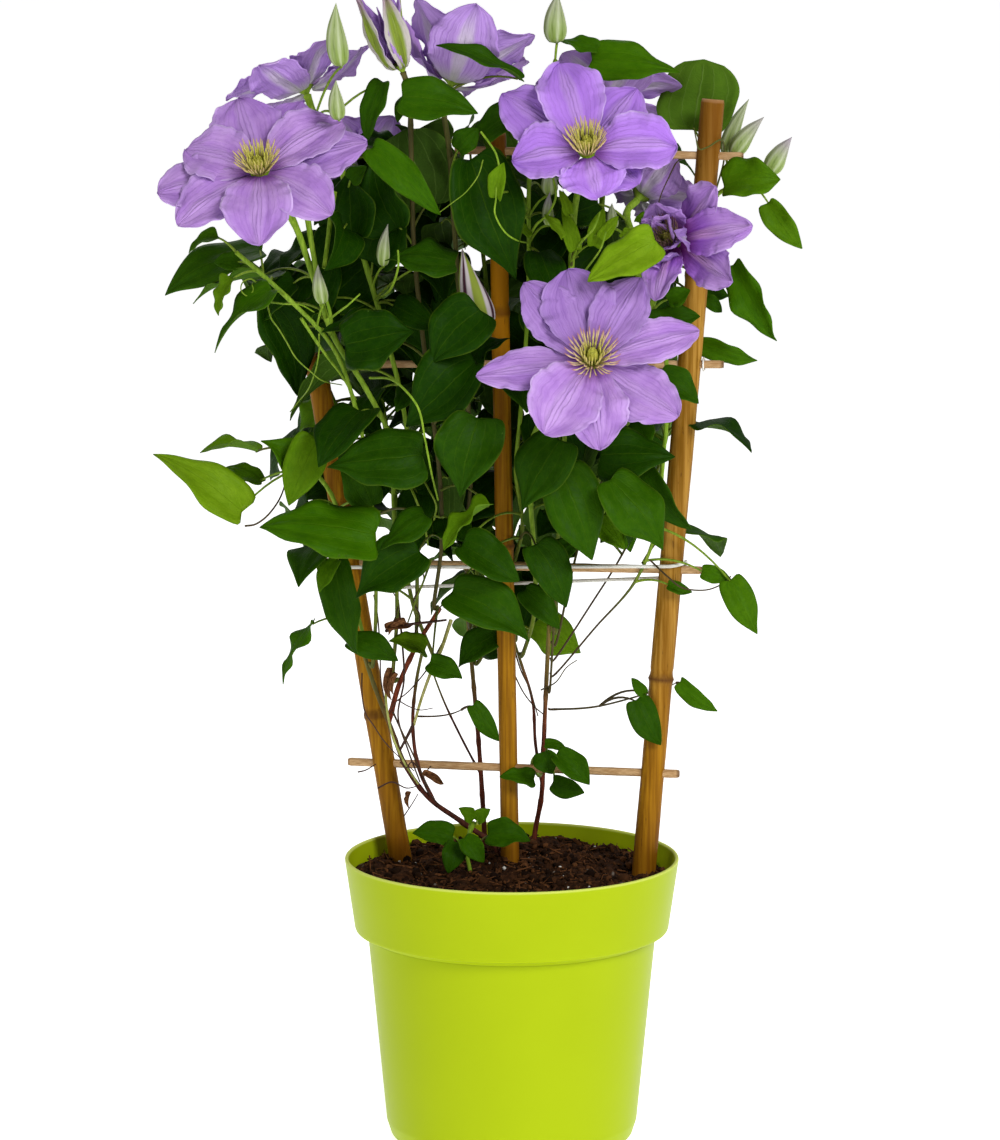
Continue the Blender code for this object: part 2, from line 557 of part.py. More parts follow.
def leaf_surface(u, v, leaf):
    """Places on a leaf: u runs from base to tip along the midrib, v from edge to edge (-1 to 1). The outline
    is u^0.55 (1-u)^1.1, arched along its length, folded about the midrib, waved at the edges and twisted."""
    base, tip, width, roll, hint, fold, twist, phase = leaf
    length = np.linalg.norm(tip - base)
    along = (tip - base) / length
    normal = unit(hint - along * (hint @ along))
    side = np.cross(along, normal)
    angle = roll + twist * (u - 0.5)
    turned_side = side * np.cos(angle)[..., None] - normal * np.sin(angle)[..., None]
    turned_normal = normal * np.cos(angle)[..., None] + side * np.sin(angle)[..., None]
    middle = normal * math.cos(roll) + side * math.sin(roll)
    fullness, base_power, tip_power = LEAF_OUTLINE
    half = fullness * width * u**base_power * (1 - u) ** tip_power
    arch = LEAF_ARCH * length * u * (1 - u)
    lift = half * (fold * np.abs(v) + LEAF_WAVE * v * np.sin(7.5 * u + phase))
    return (base + along * (length * u)[..., None] + middle * arch[..., None]
            + turned_side * (v * half)[..., None] + turned_normal * lift[..., None])


def stalked_surface(u, v, leaf, foot):
    """A leaf with its stalk: u runs from -1 at the stalk's foot to 0 at the blade, bowed up by a tenth of
    its length, then on over the blade. The stalk is a narrow strip that lies side on to the blade."""
    base, along = leaf[0], unit(leaf[1] - leaf[0])
    blade = leaf_surface(np.clip(u, 0, 1), v, leaf)
    edges = leaf_surface(np.array([0.1, 0.1]), np.array([-1.0, 1.0]), leaf)
    share = np.clip(u + 1, 0, 1)[..., None]
    bow = UP * 0.1 * np.linalg.norm(foot - base)
    middle = foot + (base - foot) * share + bow * 4 * share * (1 - share)
    strip = middle + unit(edges[1] - edges[0]) * (v * STALK_HALF)[..., None] * (0.6 + 0.4 * share)
    return np.where(u[..., None] > 0, blade, strip)


def rows_of(width):
    """How far along its length a blade has its rows of points."""
    return np.array([0, 0.2, 0.48, 0.78, 1]) if width >= BIG_LEAF else np.array([0, 0.3, 0.7, 1])


def stalked_rows(leaf, foot):
    bend = [-0.5] if np.linalg.norm(foot - leaf[0]) > LONG_STALK else []
    return np.array([-1, *bend, *rows_of(leaf[2])])


def blade_object(name, rows, surface, finish, narrow, columns=3):
    """A blade: a grid of columns bent to a surface(u, v), with only the two outer columns as far as `narrow`,
    its pointed ends welded, split and thickened."""
    mesh = bpy.data.meshes.new(name)
    shape = bmesh.new()
    bmesh.ops.create_grid(shape, x_segments=columns - 1, y_segments=len(rows) - 1, size=1)
    v = np.array([vert.co.x for vert in shape.verts])
    u = rows[[round((vert.co.y + 1) / 2 * (len(rows) - 1)) for vert in shape.verts]].astype(float)
    for vert, place in zip(shape.verts, surface(u, v) * MM):
        vert.co = place
    spare = [vert for vert, along, across in zip(shape.verts, u, v) if along <= narrow and abs(across) < 0.5]
    bmesh.ops.dissolve_verts(shape, verts=spare)
    bmesh.ops.remove_doubles(shape, verts=shape.verts, dist=1e-6)
    bmesh.ops.triangulate(shape, faces=shape.faces)
    shape.to_mesh(mesh)
    shape.free()
    piece = new_object(name, mesh, finish)
    wall = piece.modifiers.new("thickness", "SOLIDIFY")
    wall.thickness = BLADE * MM
    wall.offset = 0
    return piece


def grid_faces(rows, columns):
    corner = np.arange((rows - 1) * columns).reshape(rows - 1, columns)[:, :-1].reshape(-1, 1)
    return corner + np.array([0, 1, columns + 1, columns])


class Space:
    """The pieces that stand so far, each with its node, its box and a tree of its faces, in millimetres."""

    def __init__(self):
        self.pieces = []

    def add(self, node, points, faces):
        tree = BVHTree.FromPolygons(points.tolist(), faces.tolist())
        self.pieces.append((node, points.min(0), points.max(0), tree))

    def add_object(self, node, piece):
        mesh = piece.data
        mesh.calc_loop_triangles()
        points = np.array([vert.co for vert in mesh.vertices]) / MM
        self.add(node, points, np.array([face.vertices for face in mesh.loop_triangles]))

    def add_line(self, node, line, radius):
        """A stem or stalk, as two crossed ribbons."""
        layers = [line + sign * radius * way for way in np.eye(3)[[0, 2]] for sign in (-1, 1)]
        pair = np.stack(layers[:2], 1).reshape(-1, 3), np.stack(layers[2:], 1).reshape(-1, 3)
        faces = grid_faces(len(line), 2)
        self.add(node, np.vstack(pair), np.vstack([faces, faces + 2 * len(line)]))

    def near(self, points, margin, but=""):
        low, high = points.min(0) - margin, points.max(0) + margin
        return [tree for node, lowest, highest, tree in self.pieces
                if node != but and (lowest < high).all() and (highest > low).all()]

    def meets(self, points, faces, but=""):
        trees = self.near(points, 0, but)
        if not trees:
            return False
        own = BVHTree.FromPolygons(points.tolist(), faces.tolist())
        return any(own.overlap(tree) for tree in trees)

    def crowds(self, points, margin, but=""):
        trees = self.near(points, margin, but)
        return any(tree.find_nearest(point, margin)[0] is not None
                   for tree in trees for point in points.tolist())


TRIES = sorted(((push, lean, turn) for push in PUSHES for lean in LEANS for turn in TURNS),
               key=lambda one: abs(one[0]) / 6 + abs(one[1]) / 9 + abs(one[2]) / 13)
def leaf_form(number):
    """Fold, twist and wave phase of a leaf, different from leaf to leaf."""
    return 0.14 + 0.18 * math.sin(7.1 * number), 0.55 * math.sin(3.3 * number + 1), 2.4 * number


def seen_leaves(row, number):
    """A leaf placed in the view, then the same leaf pushed back or forward, leaned and rolled."""
    across, down, tip_across, tip_down, width, depth, lean, roll = row
    for push, more, turn in TRIES:
        base = at(across, down, depth + push)
        tip = at(tip_across, tip_down, depth + push + lean + more)
        yield base, tip, width, math.radians(roll + turn), TOWARD_VIEW, *leaf_form(number)


def filling_leaves(points, share, number):
    """A leaf that grows outward from a shoot, then the same leaf turned round it and raised or lowered."""
    place = smooth(points, 41)[round(40 * share)]
    outward = math.atan2(place[1] - 22, place[0]) + 1.1 * math.sin(2.6 * number)
    form = FILLING_LEAF
    size = form["length"] + form["spread"] * math.sin(4.1 * number)
    for push, more, turn in TRIES:
        angle = outward + math.radians(turn + 1.5 * push)
        away = np.array([math.cos(angle), math.sin(angle), 0])
        droop = math.radians(form["droop"] + 14 * math.sin(1.7 * number) + 2.2 * more)
        reach = form["reach"] + 5 * math.sin(5.3 * number) + 0.4 * push
        base = place + away * reach + UP * (form["rise"] + 0.3 * push)
        tip = base + size * (away * math.cos(droop) - UP * math.sin(droop))
        width = form["width"] * size
        yield base, tip, width, 0.25 * math.sin(number), away * 0.45 + UP * 0.8, *leaf_form(number)


def stalk_line(leaf, points, drop):
    """The middle line of a leaf stalk that leaves the shoot a drop below the leaf."""
    foot = nearest_on(points, leaf[0] - UP * drop)
    return stalked_surface(np.linspace(-1, 0, 5), np.zeros(5), leaf, foot)


def stalk_samples(line):
    """Places along a stalk, past its first 3 mm."""
    steps = int(length_of(line) / 2) + 2
    run = np.concatenate([[0], np.cumsum(np.linalg.norm(np.diff(line, axis=0), axis=1))])
    wanted = np.linspace(3, run[-1], steps)
    return np.column_stack([np.interp(wanted, run, line[:, k]) for k in range(3)])


def settle(leaves, node, points, space):
    """The first of a leaf's places whose blade and stalk are clear of every other node, with its stalk."""
    for leaf in leaves:
        rows = rows_of(leaf[2])
        u, v = (grid.ravel() for grid in np.meshgrid(rows, [-1.0, 0.0, 1.0], indexing="ij"))
        wide = (leaf[0], leaf[1], leaf[2] * 1.06, *leaf[3:])
        blade = leaf_surface(u, v, wide)
        away = unit(np.cross(leaf[1] - leaf[0], blade[5] - blade[3])) * LEAF_CLEARANCE
        faces = grid_faces(len(rows), 3)
        layers = np.vstack([blade - away, blade, blade + away])
        if space.meets(layers, np.vstack([faces + len(blade) * k for k in range(3)]), node + " stem"):
            continue
        for drop in DROPS:
            line = stalk_line(leaf, points, drop)
            if not space.crowds(stalk_samples(line), STALK_RADIUS + 0.5, node + " stem"):
                space.add(node, leaf_surface(u, v, leaf), faces)
                space.add_line(node + " stem", line, STALK_RADIUS)
                return leaf, line
    return None


def bloom_frame(bloom):
    centre = at(*bloom["centre"])
    face = unit(np.array(bloom["face"]))
    across = unit(np.cross(UP, face))
    return centre, face, across, np.cross(face, across)


def sepals_of(bloom):
    """(angle, reach) of each sepal, in order round the bloom."""
    if "ring" in bloom:
        count, reach, first = bloom["ring"]
        return [(math.radians(first + 360 * k / count), reach * (1 + 0.05 * math.sin(5 * k)))
                for k in range(count)]
    centre, face, across, over = bloom_frame(bloom)
    top = centre + face * bloom["rise"]
    found = []
    for tip in bloom["tips"]:
        near, far = at(*tip, -200), at(*tip, 200)
        place = near + (far - near) * ((top - near) @ face) / ((far - near) @ face) - top
        found.append((math.atan2(place @ over, place @ across), float(np.linalg.norm(place))))
    return sorted(found)


def sepal_surface(u, v, bloom, order, angle, reach):
    """Places on a sepal: u from the bloom's middle to the tip, v from edge to edge. Its middle line rises as
    u^1.6 with a belly, its outline is sin(pi u)^0.75, and layer, fold and ruffle stand off that line."""
    centre, face, across, over = bloom_frame(bloom)
    layer = 1 if order % 2 else -1
    out = across * math.cos(angle) + over * math.sin(angle)
    side = over * math.cos(angle) - across * math.sin(angle)
    belly = SEPAL_BELLY * reach
    radial = SEPAL_ROOT + (reach - SEPAL_ROOT) * u
    height = bloom["rise"] * u**1.6 + belly * np.sin(math.pi * u)
    slope = bloom["rise"] * 1.6 * u**0.6 + belly * math.pi * np.cos(math.pi * u)
    steep = np.hypot(slope, reach - SEPAL_ROOT)
    half = 0.5 * bloom["width"] * np.sin(math.pi * np.clip(u, 0, 1)) ** 0.75 + 1.6 * (1 - u) ** 3
    bend = v * half * SEPAL_CURL
    lift = (1 - np.cos(bend)) / SEPAL_CURL + layer * SEPAL_LAYER * np.sin(math.pi * np.minimum(0.16 + u, 1))
    lift += half * (0.10 * layer * np.abs(v) + 0.09 * v * np.sin(9.5 * u + 1.9 * order))
    return (centre + out * (radial - lift * slope / steep)[..., None]
            + face * (height + lift * (reach - SEPAL_ROOT) / steep)[..., None]
            + side * (np.sin(bend) / SEPAL_CURL)[..., None])


def aligned(mesh, direction, place):
    """Turns a mesh's Z axis along a direction and moves it to a place."""
    turn = Vector(direction).to_track_quat("Z", "Y").to_matrix().to_4x4()
    mesh.transform(Matrix.Translation(Vector(place * MM)) @ turn)
    return mesh


def cone(name, sides, foot_radius, top_radius, foot, top, finish):
    """A cone with flat ends from one place to another."""
    shape = bmesh.new()
    length = np.linalg.norm(top - foot)
    bmesh.ops.create_cone(shape, cap_ends=True, segments=sides, radius1=foot_radius * MM,
                          radius2=top_radius * MM, depth=length * MM)
    mesh = bpy.data.meshes.new(name)
    shape.to_mesh(mesh)
    shape.free()
    return new_object(name, aligned(mesh, top - foot, (foot + top) / 2), finish)


def make_sepals(name, bloom):
    centre, face = bloom_frame(bloom)[:2]
    whole = cone(name + "_sepals", 8, *RECEPTACLE_RADII, centre + face * RECEPTACLE_FOOT,
                 centre + face * RECEPTACLE_TOP, "sepal")
    blades = [blade_object("sepal", SEPAL_ROWS, lambda u, v: sepal_surface(u, v, bloom, order, *sepal),
                           "sepal", 0)
              for order, sepal in enumerate(sepals_of(bloom))]
    return combine(whole, blades, "sepal", solver="MANIFOLD")


def make_stamens(name, bloom):
    """A short column that carries rings of stamens, as (count, angle off the axis, length)."""
    centre, face, across, over = bloom_frame(bloom)
    rings = OPEN_STAMENS if "tips" in bloom else FEW_STAMENS
    foot = centre + face * (RECEPTACLE_TOP + GAP)
    column = cone(name + "_stamens", 6, 4.0, 2.6, foot, foot + face * COLUMN_HEIGHT, "stamen")
    stamens = []
    for ring, (count, lean, length) in enumerate(rings):
        for k in range(count):
            angle = 2 * math.pi * (k + 0.5 * ring) / count + 0.2
            out = across * math.cos(angle) + over * math.sin(angle)
            way = face * math.cos(math.radians(lean)) + out * math.sin(math.radians(lean))
            root = foot + face * (1.9 + 0.5 * ring)
            stamens.append(cone("stamen", STAMEN_SIDES, 0.5, 0.95, root, root + way * length, "stamen"))
    return combine(column, stamens, "stamen", solver="MANIFOLD")


def make_bud(row, line):
    """A bud on its stalk, as one bar whose radius swells into the bud."""
    across, down, tip_across, tip_down, width, depth = row
    base, tip = at(across, down, depth), at(tip_across, tip_down, depth)
    foot = nearest_on(line, base - UP * 16)
    body = [base + (tip - base) * share for share in (-0.12, 0.28, 0.66, 1)]
    points = np.array([foot, *body])
    return tube("bud", points, [STALK_RADIUS, 0.9, 0.5 * width, 0.40 * width, 0.06 * width], "leaf", 1)


def tapered(radius, points, end_share=0.7):
    return np.linspace(radius, radius * end_share, len(points))


def footed(way):
    """A stem's places with its foot added, straight down in the soil."""
    return [np.array([way[0][0], way[0][1], SOIL_TOP - ROOTED]), *way]


def make_woody(name, others, space):
    """A woody stem and its branches as one body. Returns its lines and the cutter for its hole in soil."""
    radius, way, branches = WOODY[name]
    way = footed([at(*place) for place in way])
    main = bent_clear(smooth(way, int(length_of(np.array(way)) / 30) + 2), radius, others, held_start=2)
    whole = tube(name, main, tapered(radius, main), "bark", 1)
    lines, pieces = [main], []
    for branch in branches:
        way = np.array([at(*place) for place in branch])
        way[0] = nearest_on(main, way[0])
        line = bent_clear(smooth(way, int(length_of(way) / 30) + 2), 0.7 * radius, others, held_start=2)
        pieces.append(tube("branch", line, tapered(0.7 * radius, line), "bark", 1))
        lines.append(line)
    combine(whole, pieces, "bark")
    space.add_object(name, whole)
    hole = main[:3].copy()
    hole[0] -= UP * GAP
    return lines, tube("hole", hole, tapered(radius, main)[:3] + GAP, "soil", 1)


def leave_parent(name, first, second, lines):
    """Where a shoot starts, a hair outside its parent stem, and its second place."""
    line = min(lines, key=lambda one: np.linalg.norm(nearest_on(one, first) - first))
    near = nearest_on(line, first)
    reach = np.linalg.norm(line - near, axis=1).argsort()[:2]
    along = unit(line[reach[0]] - line[reach[1]])
    radius = WOODY[name][0] * (1 if line is lines[0] else 0.7) * (1 - 0.3 * reach.mean() / (len(line) - 1))
    out = second - near
    out = unit(out - along * (out @ along))
    start = near + out * (radius + GAP + 0.1)
    return [start, start + out * 4]


def shoot_line(name, shoot, woody_lines, others):
    """The middle line of a shoot's stem, from its parent or the soil to its tip or its bloom's back."""
    way = [at(*place) for place in shoot["way"]]
    held_end = 1
    if "bloom" in shoot:
        centre, face = bloom_frame(BLOOMS[shoot["bloom"]])[:2]
        way.append(centre + face * (RECEPTACLE_FOOT - GAP - BLOOM_NECK))
        held_end = 2
    if shoot["parent"]:
        start = leave_parent(shoot["parent"], way[0], way[1], woody_lines[shoot["parent"]])
        way = start[1:] + way[1:]
    else:
        way = footed(way)
    body = smooth(way, max(4, int(length_of(np.array(way)) / 33)))
    points = [body]
    if shoot["parent"]:
        points.insert(0, start[:1])
    if "bloom" in shoot:
        points.append([centre + face * (RECEPTACLE_FOOT - GAP)])
    return bent_clear(np.vstack(points), SHOOT_RADIUS, others, 2, held_end)


def make_shoot(name, shoot, line, space, first_number):
    """A leafy shoot as one body: stem, leaf stalks, leaves and buds. A leaf without room is left out."""
    whole = tube(name, line, tapered(SHOOT_RADIUS, line, 0.75), "leaf")
    pieces = []
    for row in shoot.get("buds", []):
        pieces.append(make_bud(row, line))
        space.add_object(name, pieces[-1])
    leaves = [seen_leaves(row, first_number + k) for k, row in enumerate(shoot["leaves"])]
    for k in range(shoot["fill"]):
        share = (k + 0.7) / (shoot["fill"] + 0.5)
        leaves.append(filling_leaves(line, share, first_number + LEAF_NUMBERS // 2 + k))
    for found in (settle(leaf, name, line, space) for leaf in leaves):
        if found is None:
            continue
        leaf, stalk = found
        foot = stalk[0]
        pieces.append(blade_object("leaf", stalked_rows(leaf, foot),
                                   lambda u, v: stalked_surface(u, v, leaf, foot),
                                   "leaf", -0.4, 2 if leaf[2] < SMALL_LEAF else 3))
    combine(whole, pieces, "leaf", solver="MANIFOLD")


def main():
    start_scene()
    space = Space()
    make_pot()
    others = []
    for name, (foot, top, foot_radius, *_) in CANES.items():
        space.add_object(name, make_cane(name))
        others += stretches(np.array([foot, top], float), foot_radius + JOINT_SWELL)
    for name, ends in RUNGS.items():
        ends = np.array(ends, float)
        space.add_object(name, tube(name, ends, [RUNG_RADIUS] * 2, "rung wood", 2))
        others += stretches(ends, RUNG_RADIUS)
    band = tie_line()
    space.add_object("tie", tube("tie", band, [TIE_RADIUS] * len(band), "elastic", 1, closed=True))
    others += stretches(np.vstack([band, band[:1]]), TIE_RADIUS)
    for name, across in CLIPS.items():
        space.add_object(name, make_clip(name, across))

    woody_lines = {}
    holes = []
    for name, (radius, *_) in WOODY.items():
        woody_lines[name], hole = make_woody(name, others, space)
        holes.append(hole)
        for line in woody_lines[name]:
            others += stretches(line, radius)
    shoot_lines = {}
    for name, shoot in SHOOTS.items():
        line = shoot_lines[name] = shoot_line(name, shoot, woody_lines, others)
        others += stretches(line, SHOOT_RADIUS)
        space.add_line(name + " stem", line, SHOOT_RADIUS)
        if not shoot["parent"]:
            holes.append(tube("hole", line[:3] - UP * [[GAP], [0], [0]], [SHOOT_RADIUS + GAP] * 3, "soil"))
    holes += [cane_hole(name) for name in CANES]
    space.add_object("soil", make_soil(holes))

    for name, bloom in BLOOMS.items():
        space.add_object(name, make_sepals(name, bloom))
        if name not in CLOSED:
            space.add_object(name, make_stamens(name, bloom))
    for number, (name, shoot) in enumerate(SHOOTS.items()):
        make_shoot(name, shoot, shoot_lines[name], space, LEAF_NUMBERS * number)


main()
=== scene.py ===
import json
import math

import bpy
import numpy as np
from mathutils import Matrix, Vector
from mathutils.bvhtree import BVHTree

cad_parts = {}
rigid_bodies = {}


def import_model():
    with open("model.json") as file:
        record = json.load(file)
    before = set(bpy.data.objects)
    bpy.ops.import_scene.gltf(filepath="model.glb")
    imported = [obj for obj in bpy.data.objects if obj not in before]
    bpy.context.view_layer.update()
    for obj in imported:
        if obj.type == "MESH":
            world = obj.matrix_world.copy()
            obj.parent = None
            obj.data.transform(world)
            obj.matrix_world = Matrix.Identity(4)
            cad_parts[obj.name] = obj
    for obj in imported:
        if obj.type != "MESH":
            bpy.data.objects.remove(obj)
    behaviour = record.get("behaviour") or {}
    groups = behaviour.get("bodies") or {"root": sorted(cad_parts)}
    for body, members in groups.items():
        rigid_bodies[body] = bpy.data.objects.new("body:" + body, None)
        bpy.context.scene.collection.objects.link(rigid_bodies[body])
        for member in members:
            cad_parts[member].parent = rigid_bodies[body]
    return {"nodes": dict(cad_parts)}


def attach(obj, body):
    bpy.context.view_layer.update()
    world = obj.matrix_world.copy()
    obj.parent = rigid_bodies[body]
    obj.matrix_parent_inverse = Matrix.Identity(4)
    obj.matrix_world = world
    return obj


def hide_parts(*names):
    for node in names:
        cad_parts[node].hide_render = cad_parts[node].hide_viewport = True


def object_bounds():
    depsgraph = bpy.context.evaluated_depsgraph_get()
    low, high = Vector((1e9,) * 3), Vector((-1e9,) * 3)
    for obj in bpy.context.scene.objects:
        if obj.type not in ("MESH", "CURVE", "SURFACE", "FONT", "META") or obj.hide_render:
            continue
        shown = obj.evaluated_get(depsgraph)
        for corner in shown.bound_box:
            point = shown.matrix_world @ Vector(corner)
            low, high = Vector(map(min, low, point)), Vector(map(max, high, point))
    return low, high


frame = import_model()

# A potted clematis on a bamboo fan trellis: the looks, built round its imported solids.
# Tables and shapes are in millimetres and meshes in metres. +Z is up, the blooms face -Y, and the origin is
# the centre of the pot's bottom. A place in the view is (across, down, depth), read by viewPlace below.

cadLow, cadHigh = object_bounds()
print("frame loaded,", len(frame["nodes"]), "nodes")

mm = 0.001
up = np.array([0.0, 0.0, 1.0])

# The front view: distance from the pot's axis, how steeply it looks down, and its focal length in view units
viewFrom = dict(distance=2800.0, raised=12.3, pitch=8.62, side=-7.4, height=180.0, focus=4443.0,
                middle=(500.0, 570.0), tall=1140)
raised, pitch = math.radians(viewFrom["raised"]), math.radians(viewFrom["pitch"])
cosPitch, sinPitch = math.cos(pitch), math.sin(pitch)
eye = np.array([viewFrom["side"], -viewFrom["distance"] * math.cos(raised),
                viewFrom["height"] + viewFrom["distance"] * math.sin(raised)])


def viewPlace(across, down, depth):  # the point seen at a place in the view, at a depth behind the pot's axis
    right = (across - viewFrom["middle"][0]) / viewFrom["focus"]
    rise = (viewFrom["middle"][1] - down) / viewFrom["focus"]
    ray = np.array([right, cosPitch + rise * sinPitch, rise * cosPitch - sinPitch])
    return eye + ray * (depth - eye[1]) / ray[1]


def seenAt(places):  # across and down in the view of an array of places
    away = places - eye
    forward = away[..., 1] * cosPitch - away[..., 2] * sinPitch
    rise = away[..., 1] * sinPitch + away[..., 2] * cosPitch
    return np.stack([viewFrom["middle"][0] + viewFrom["focus"] * away[..., 0] / forward,
                     viewFrom["middle"][1] - viewFrom["focus"] * rise / forward], -1)


def unit(vectors):
    return vectors / (np.linalg.norm(vectors, axis=-1, keepdims=True) + 1e-12)


def smoothStep(low, high, values):
    t = np.clip((values - low) / (high - low), 0, 1)
    return t * t * (3 - 2 * t)


def fullTurn(count):
    return np.linspace(0, 2 * math.pi, count, endpoint=False)


def bell(values, middle, wide):
    return np.exp(-(((values - middle) / wide) ** 2))


def ripple(places, size, seed):  # soft noise from -1 to 1: six crossed waves, about `size` millimetres long
    rng = np.random.default_rng(seed)
    total = 0
    for _ in range(6):
        way = unit(rng.normal(size=3)) * rng.uniform(0.6, 1.6) * 2 * math.pi / size
        total = total + np.sin(places @ way + rng.uniform(0, 6.3))
    return total / 3.2


# Mesh making


def quadsOf(cells):
    corners = [cells[:-1, :-1], cells[1:, :-1], cells[1:, 1:], cells[:-1, 1:]]
    return np.stack(corners, -1).reshape(-1, 4)


def faceNormals(grid):  # unit normals of a grid of places, from its slopes along rows and columns
    return unit(np.cross(np.gradient(grid, axis=0), np.gradient(grid, axis=1)))


def slab(grid, thickness):  # a closed sheet: the grid pushed both ways along its normals, joined at its rim
    push = faceNormals(grid) * (np.broadcast_to(thickness, grid.shape[:2]) / 2)[..., None]
    count = grid.shape[0] * grid.shape[1]
    cells = np.arange(count).reshape(grid.shape[:2])
    face = quadsOf(cells)
    rim = np.concatenate([cells[0, :-1], cells[:-1, -1], cells[-1, :0:-1], cells[:0:-1, 0]])
    after = np.roll(rim, -1)
    side = np.column_stack([rim, after, after + count, rim + count])
    places = np.vstack([(grid + push).reshape(-1, 3), (grid - push).reshape(-1, 3)])
    return places, np.vstack([face, face[:, ::-1] + count, side])


def sheet(grid, thickness, front, u, v):  # a slab with its UV map, and 1 on the side away from the front
    places, quads = slab(grid, thickness)
    under = np.repeat([0.0, 1.0] if faceNormals(grid).mean((0, 1)) @ front > 0 else [1.0, 0.0], u.size)
    uv = np.column_stack([np.tile((0.5 + 0.5 * v).ravel(), 2), np.tile(u.ravel(), 2)])
    return places, quads, uv, under


def ringQuads(rows, sides, closed=False):  # faces between rings of places, each ring joined to itself
    cells = np.arange(rows * sides).reshape(rows, sides)
    cells = np.column_stack([cells, cells[:, :1]])
    if closed:
        cells = np.vstack([cells, cells[:1]])
    return quadsOf(cells)


def capFaces(rows, sides):  # the fans that close a pipe onto the two poles stored after its rings
    ring = np.arange(sides)
    last = ring + (rows - 1) * sides
    first = np.column_stack([np.roll(ring, -1), ring, np.full(sides, rows * sides)])
    final = np.column_stack([last, np.roll(last, -1), np.full(sides, rows * sides + 1)])
    return np.vstack([first, final])


def pipe(line, radii, sides, closed=False, bulge=0.4):
    # rings round a line, with radii by ring, or by ring and side; poles stand out at its ends by their bulge
    if closed:
        along = unit(np.roll(line, -1, 0) - np.roll(line, 1, 0))
    else:
        along = unit(np.gradient(line, axis=0))
    spare = np.linalg.svd(along)[2][-1]
    side = unit(np.cross(along, spare))
    over = np.cross(side, along)
    angle = fullTurn(sides)
    radii = np.asarray(radii, float)
    radii = np.broadcast_to(radii[:, None] if radii.ndim == 1 else radii, (len(line), sides))[..., None]
    around = np.cos(angle)[None, :, None] * side[:, None] + np.sin(angle)[None, :, None] * over[:, None]
    rings = (line[:, None] + radii * around).reshape(-1, 3)
    if closed:
        return rings, ringQuads(len(line), sides, True), np.empty((0, 3), int)
    ends = ((0, -bulge), (-1, bulge))
    poles = np.array([line[end] + along[end] * radii[end].mean() * out for end, out in ends])
    return np.vstack([rings, poles]), ringQuads(len(line), sides), capFaces(len(line), sides)


def byRing(values, sides, first=0, last=1):  # a value of each ring repeated round it, then those of the poles
    return np.append(np.repeat(values, sides), [first, last])


def turnedShape(profile, sides):  # (radius, height) pairs carried round Z, the first and last on the axis
    profile = np.array(profile, float)
    angle = fullTurn(sides)
    rings = profile[1:-1, None, :]
    places = np.stack([rings[..., 0] * np.cos(angle), rings[..., 0] * np.sin(angle),
                       rings[..., 1] * np.ones(sides)], -1).reshape(-1, 3)
    poles = np.array([[0, 0, profile[0, 1]], [0, 0, profile[-1, 1]]])
    rows = len(profile) - 2
    return np.vstack([places, poles]), ringQuads(rows, sides), capFaces(rows, sides)


def rounded(corners, radius, steps=5):  # a profile with each inner corner swapped for an arc-like curve
    corners = np.array(corners, float)
    found = [corners[:1]]
    for before, corner, after in zip(corners, corners[1:], corners[2:]):
        reach = min(radius, 0.45 * np.linalg.norm(before - corner), 0.45 * np.linalg.norm(after - corner))
        start, end = corner + unit(before - corner) * reach, corner + unit(after - corner) * reach
        t = np.linspace(0, 1, steps)[:, None]
        found.append((1 - t) ** 2 * start + 2 * t * (1 - t) * corner + t**2 * end)
    return np.vstack([*found, corners[-1:]])


def placed(name, data):  # a new object in the scene
    piece = bpy.data.objects.new(name, data)
    bpy.context.scene.collection.objects.link(piece)
    return piece


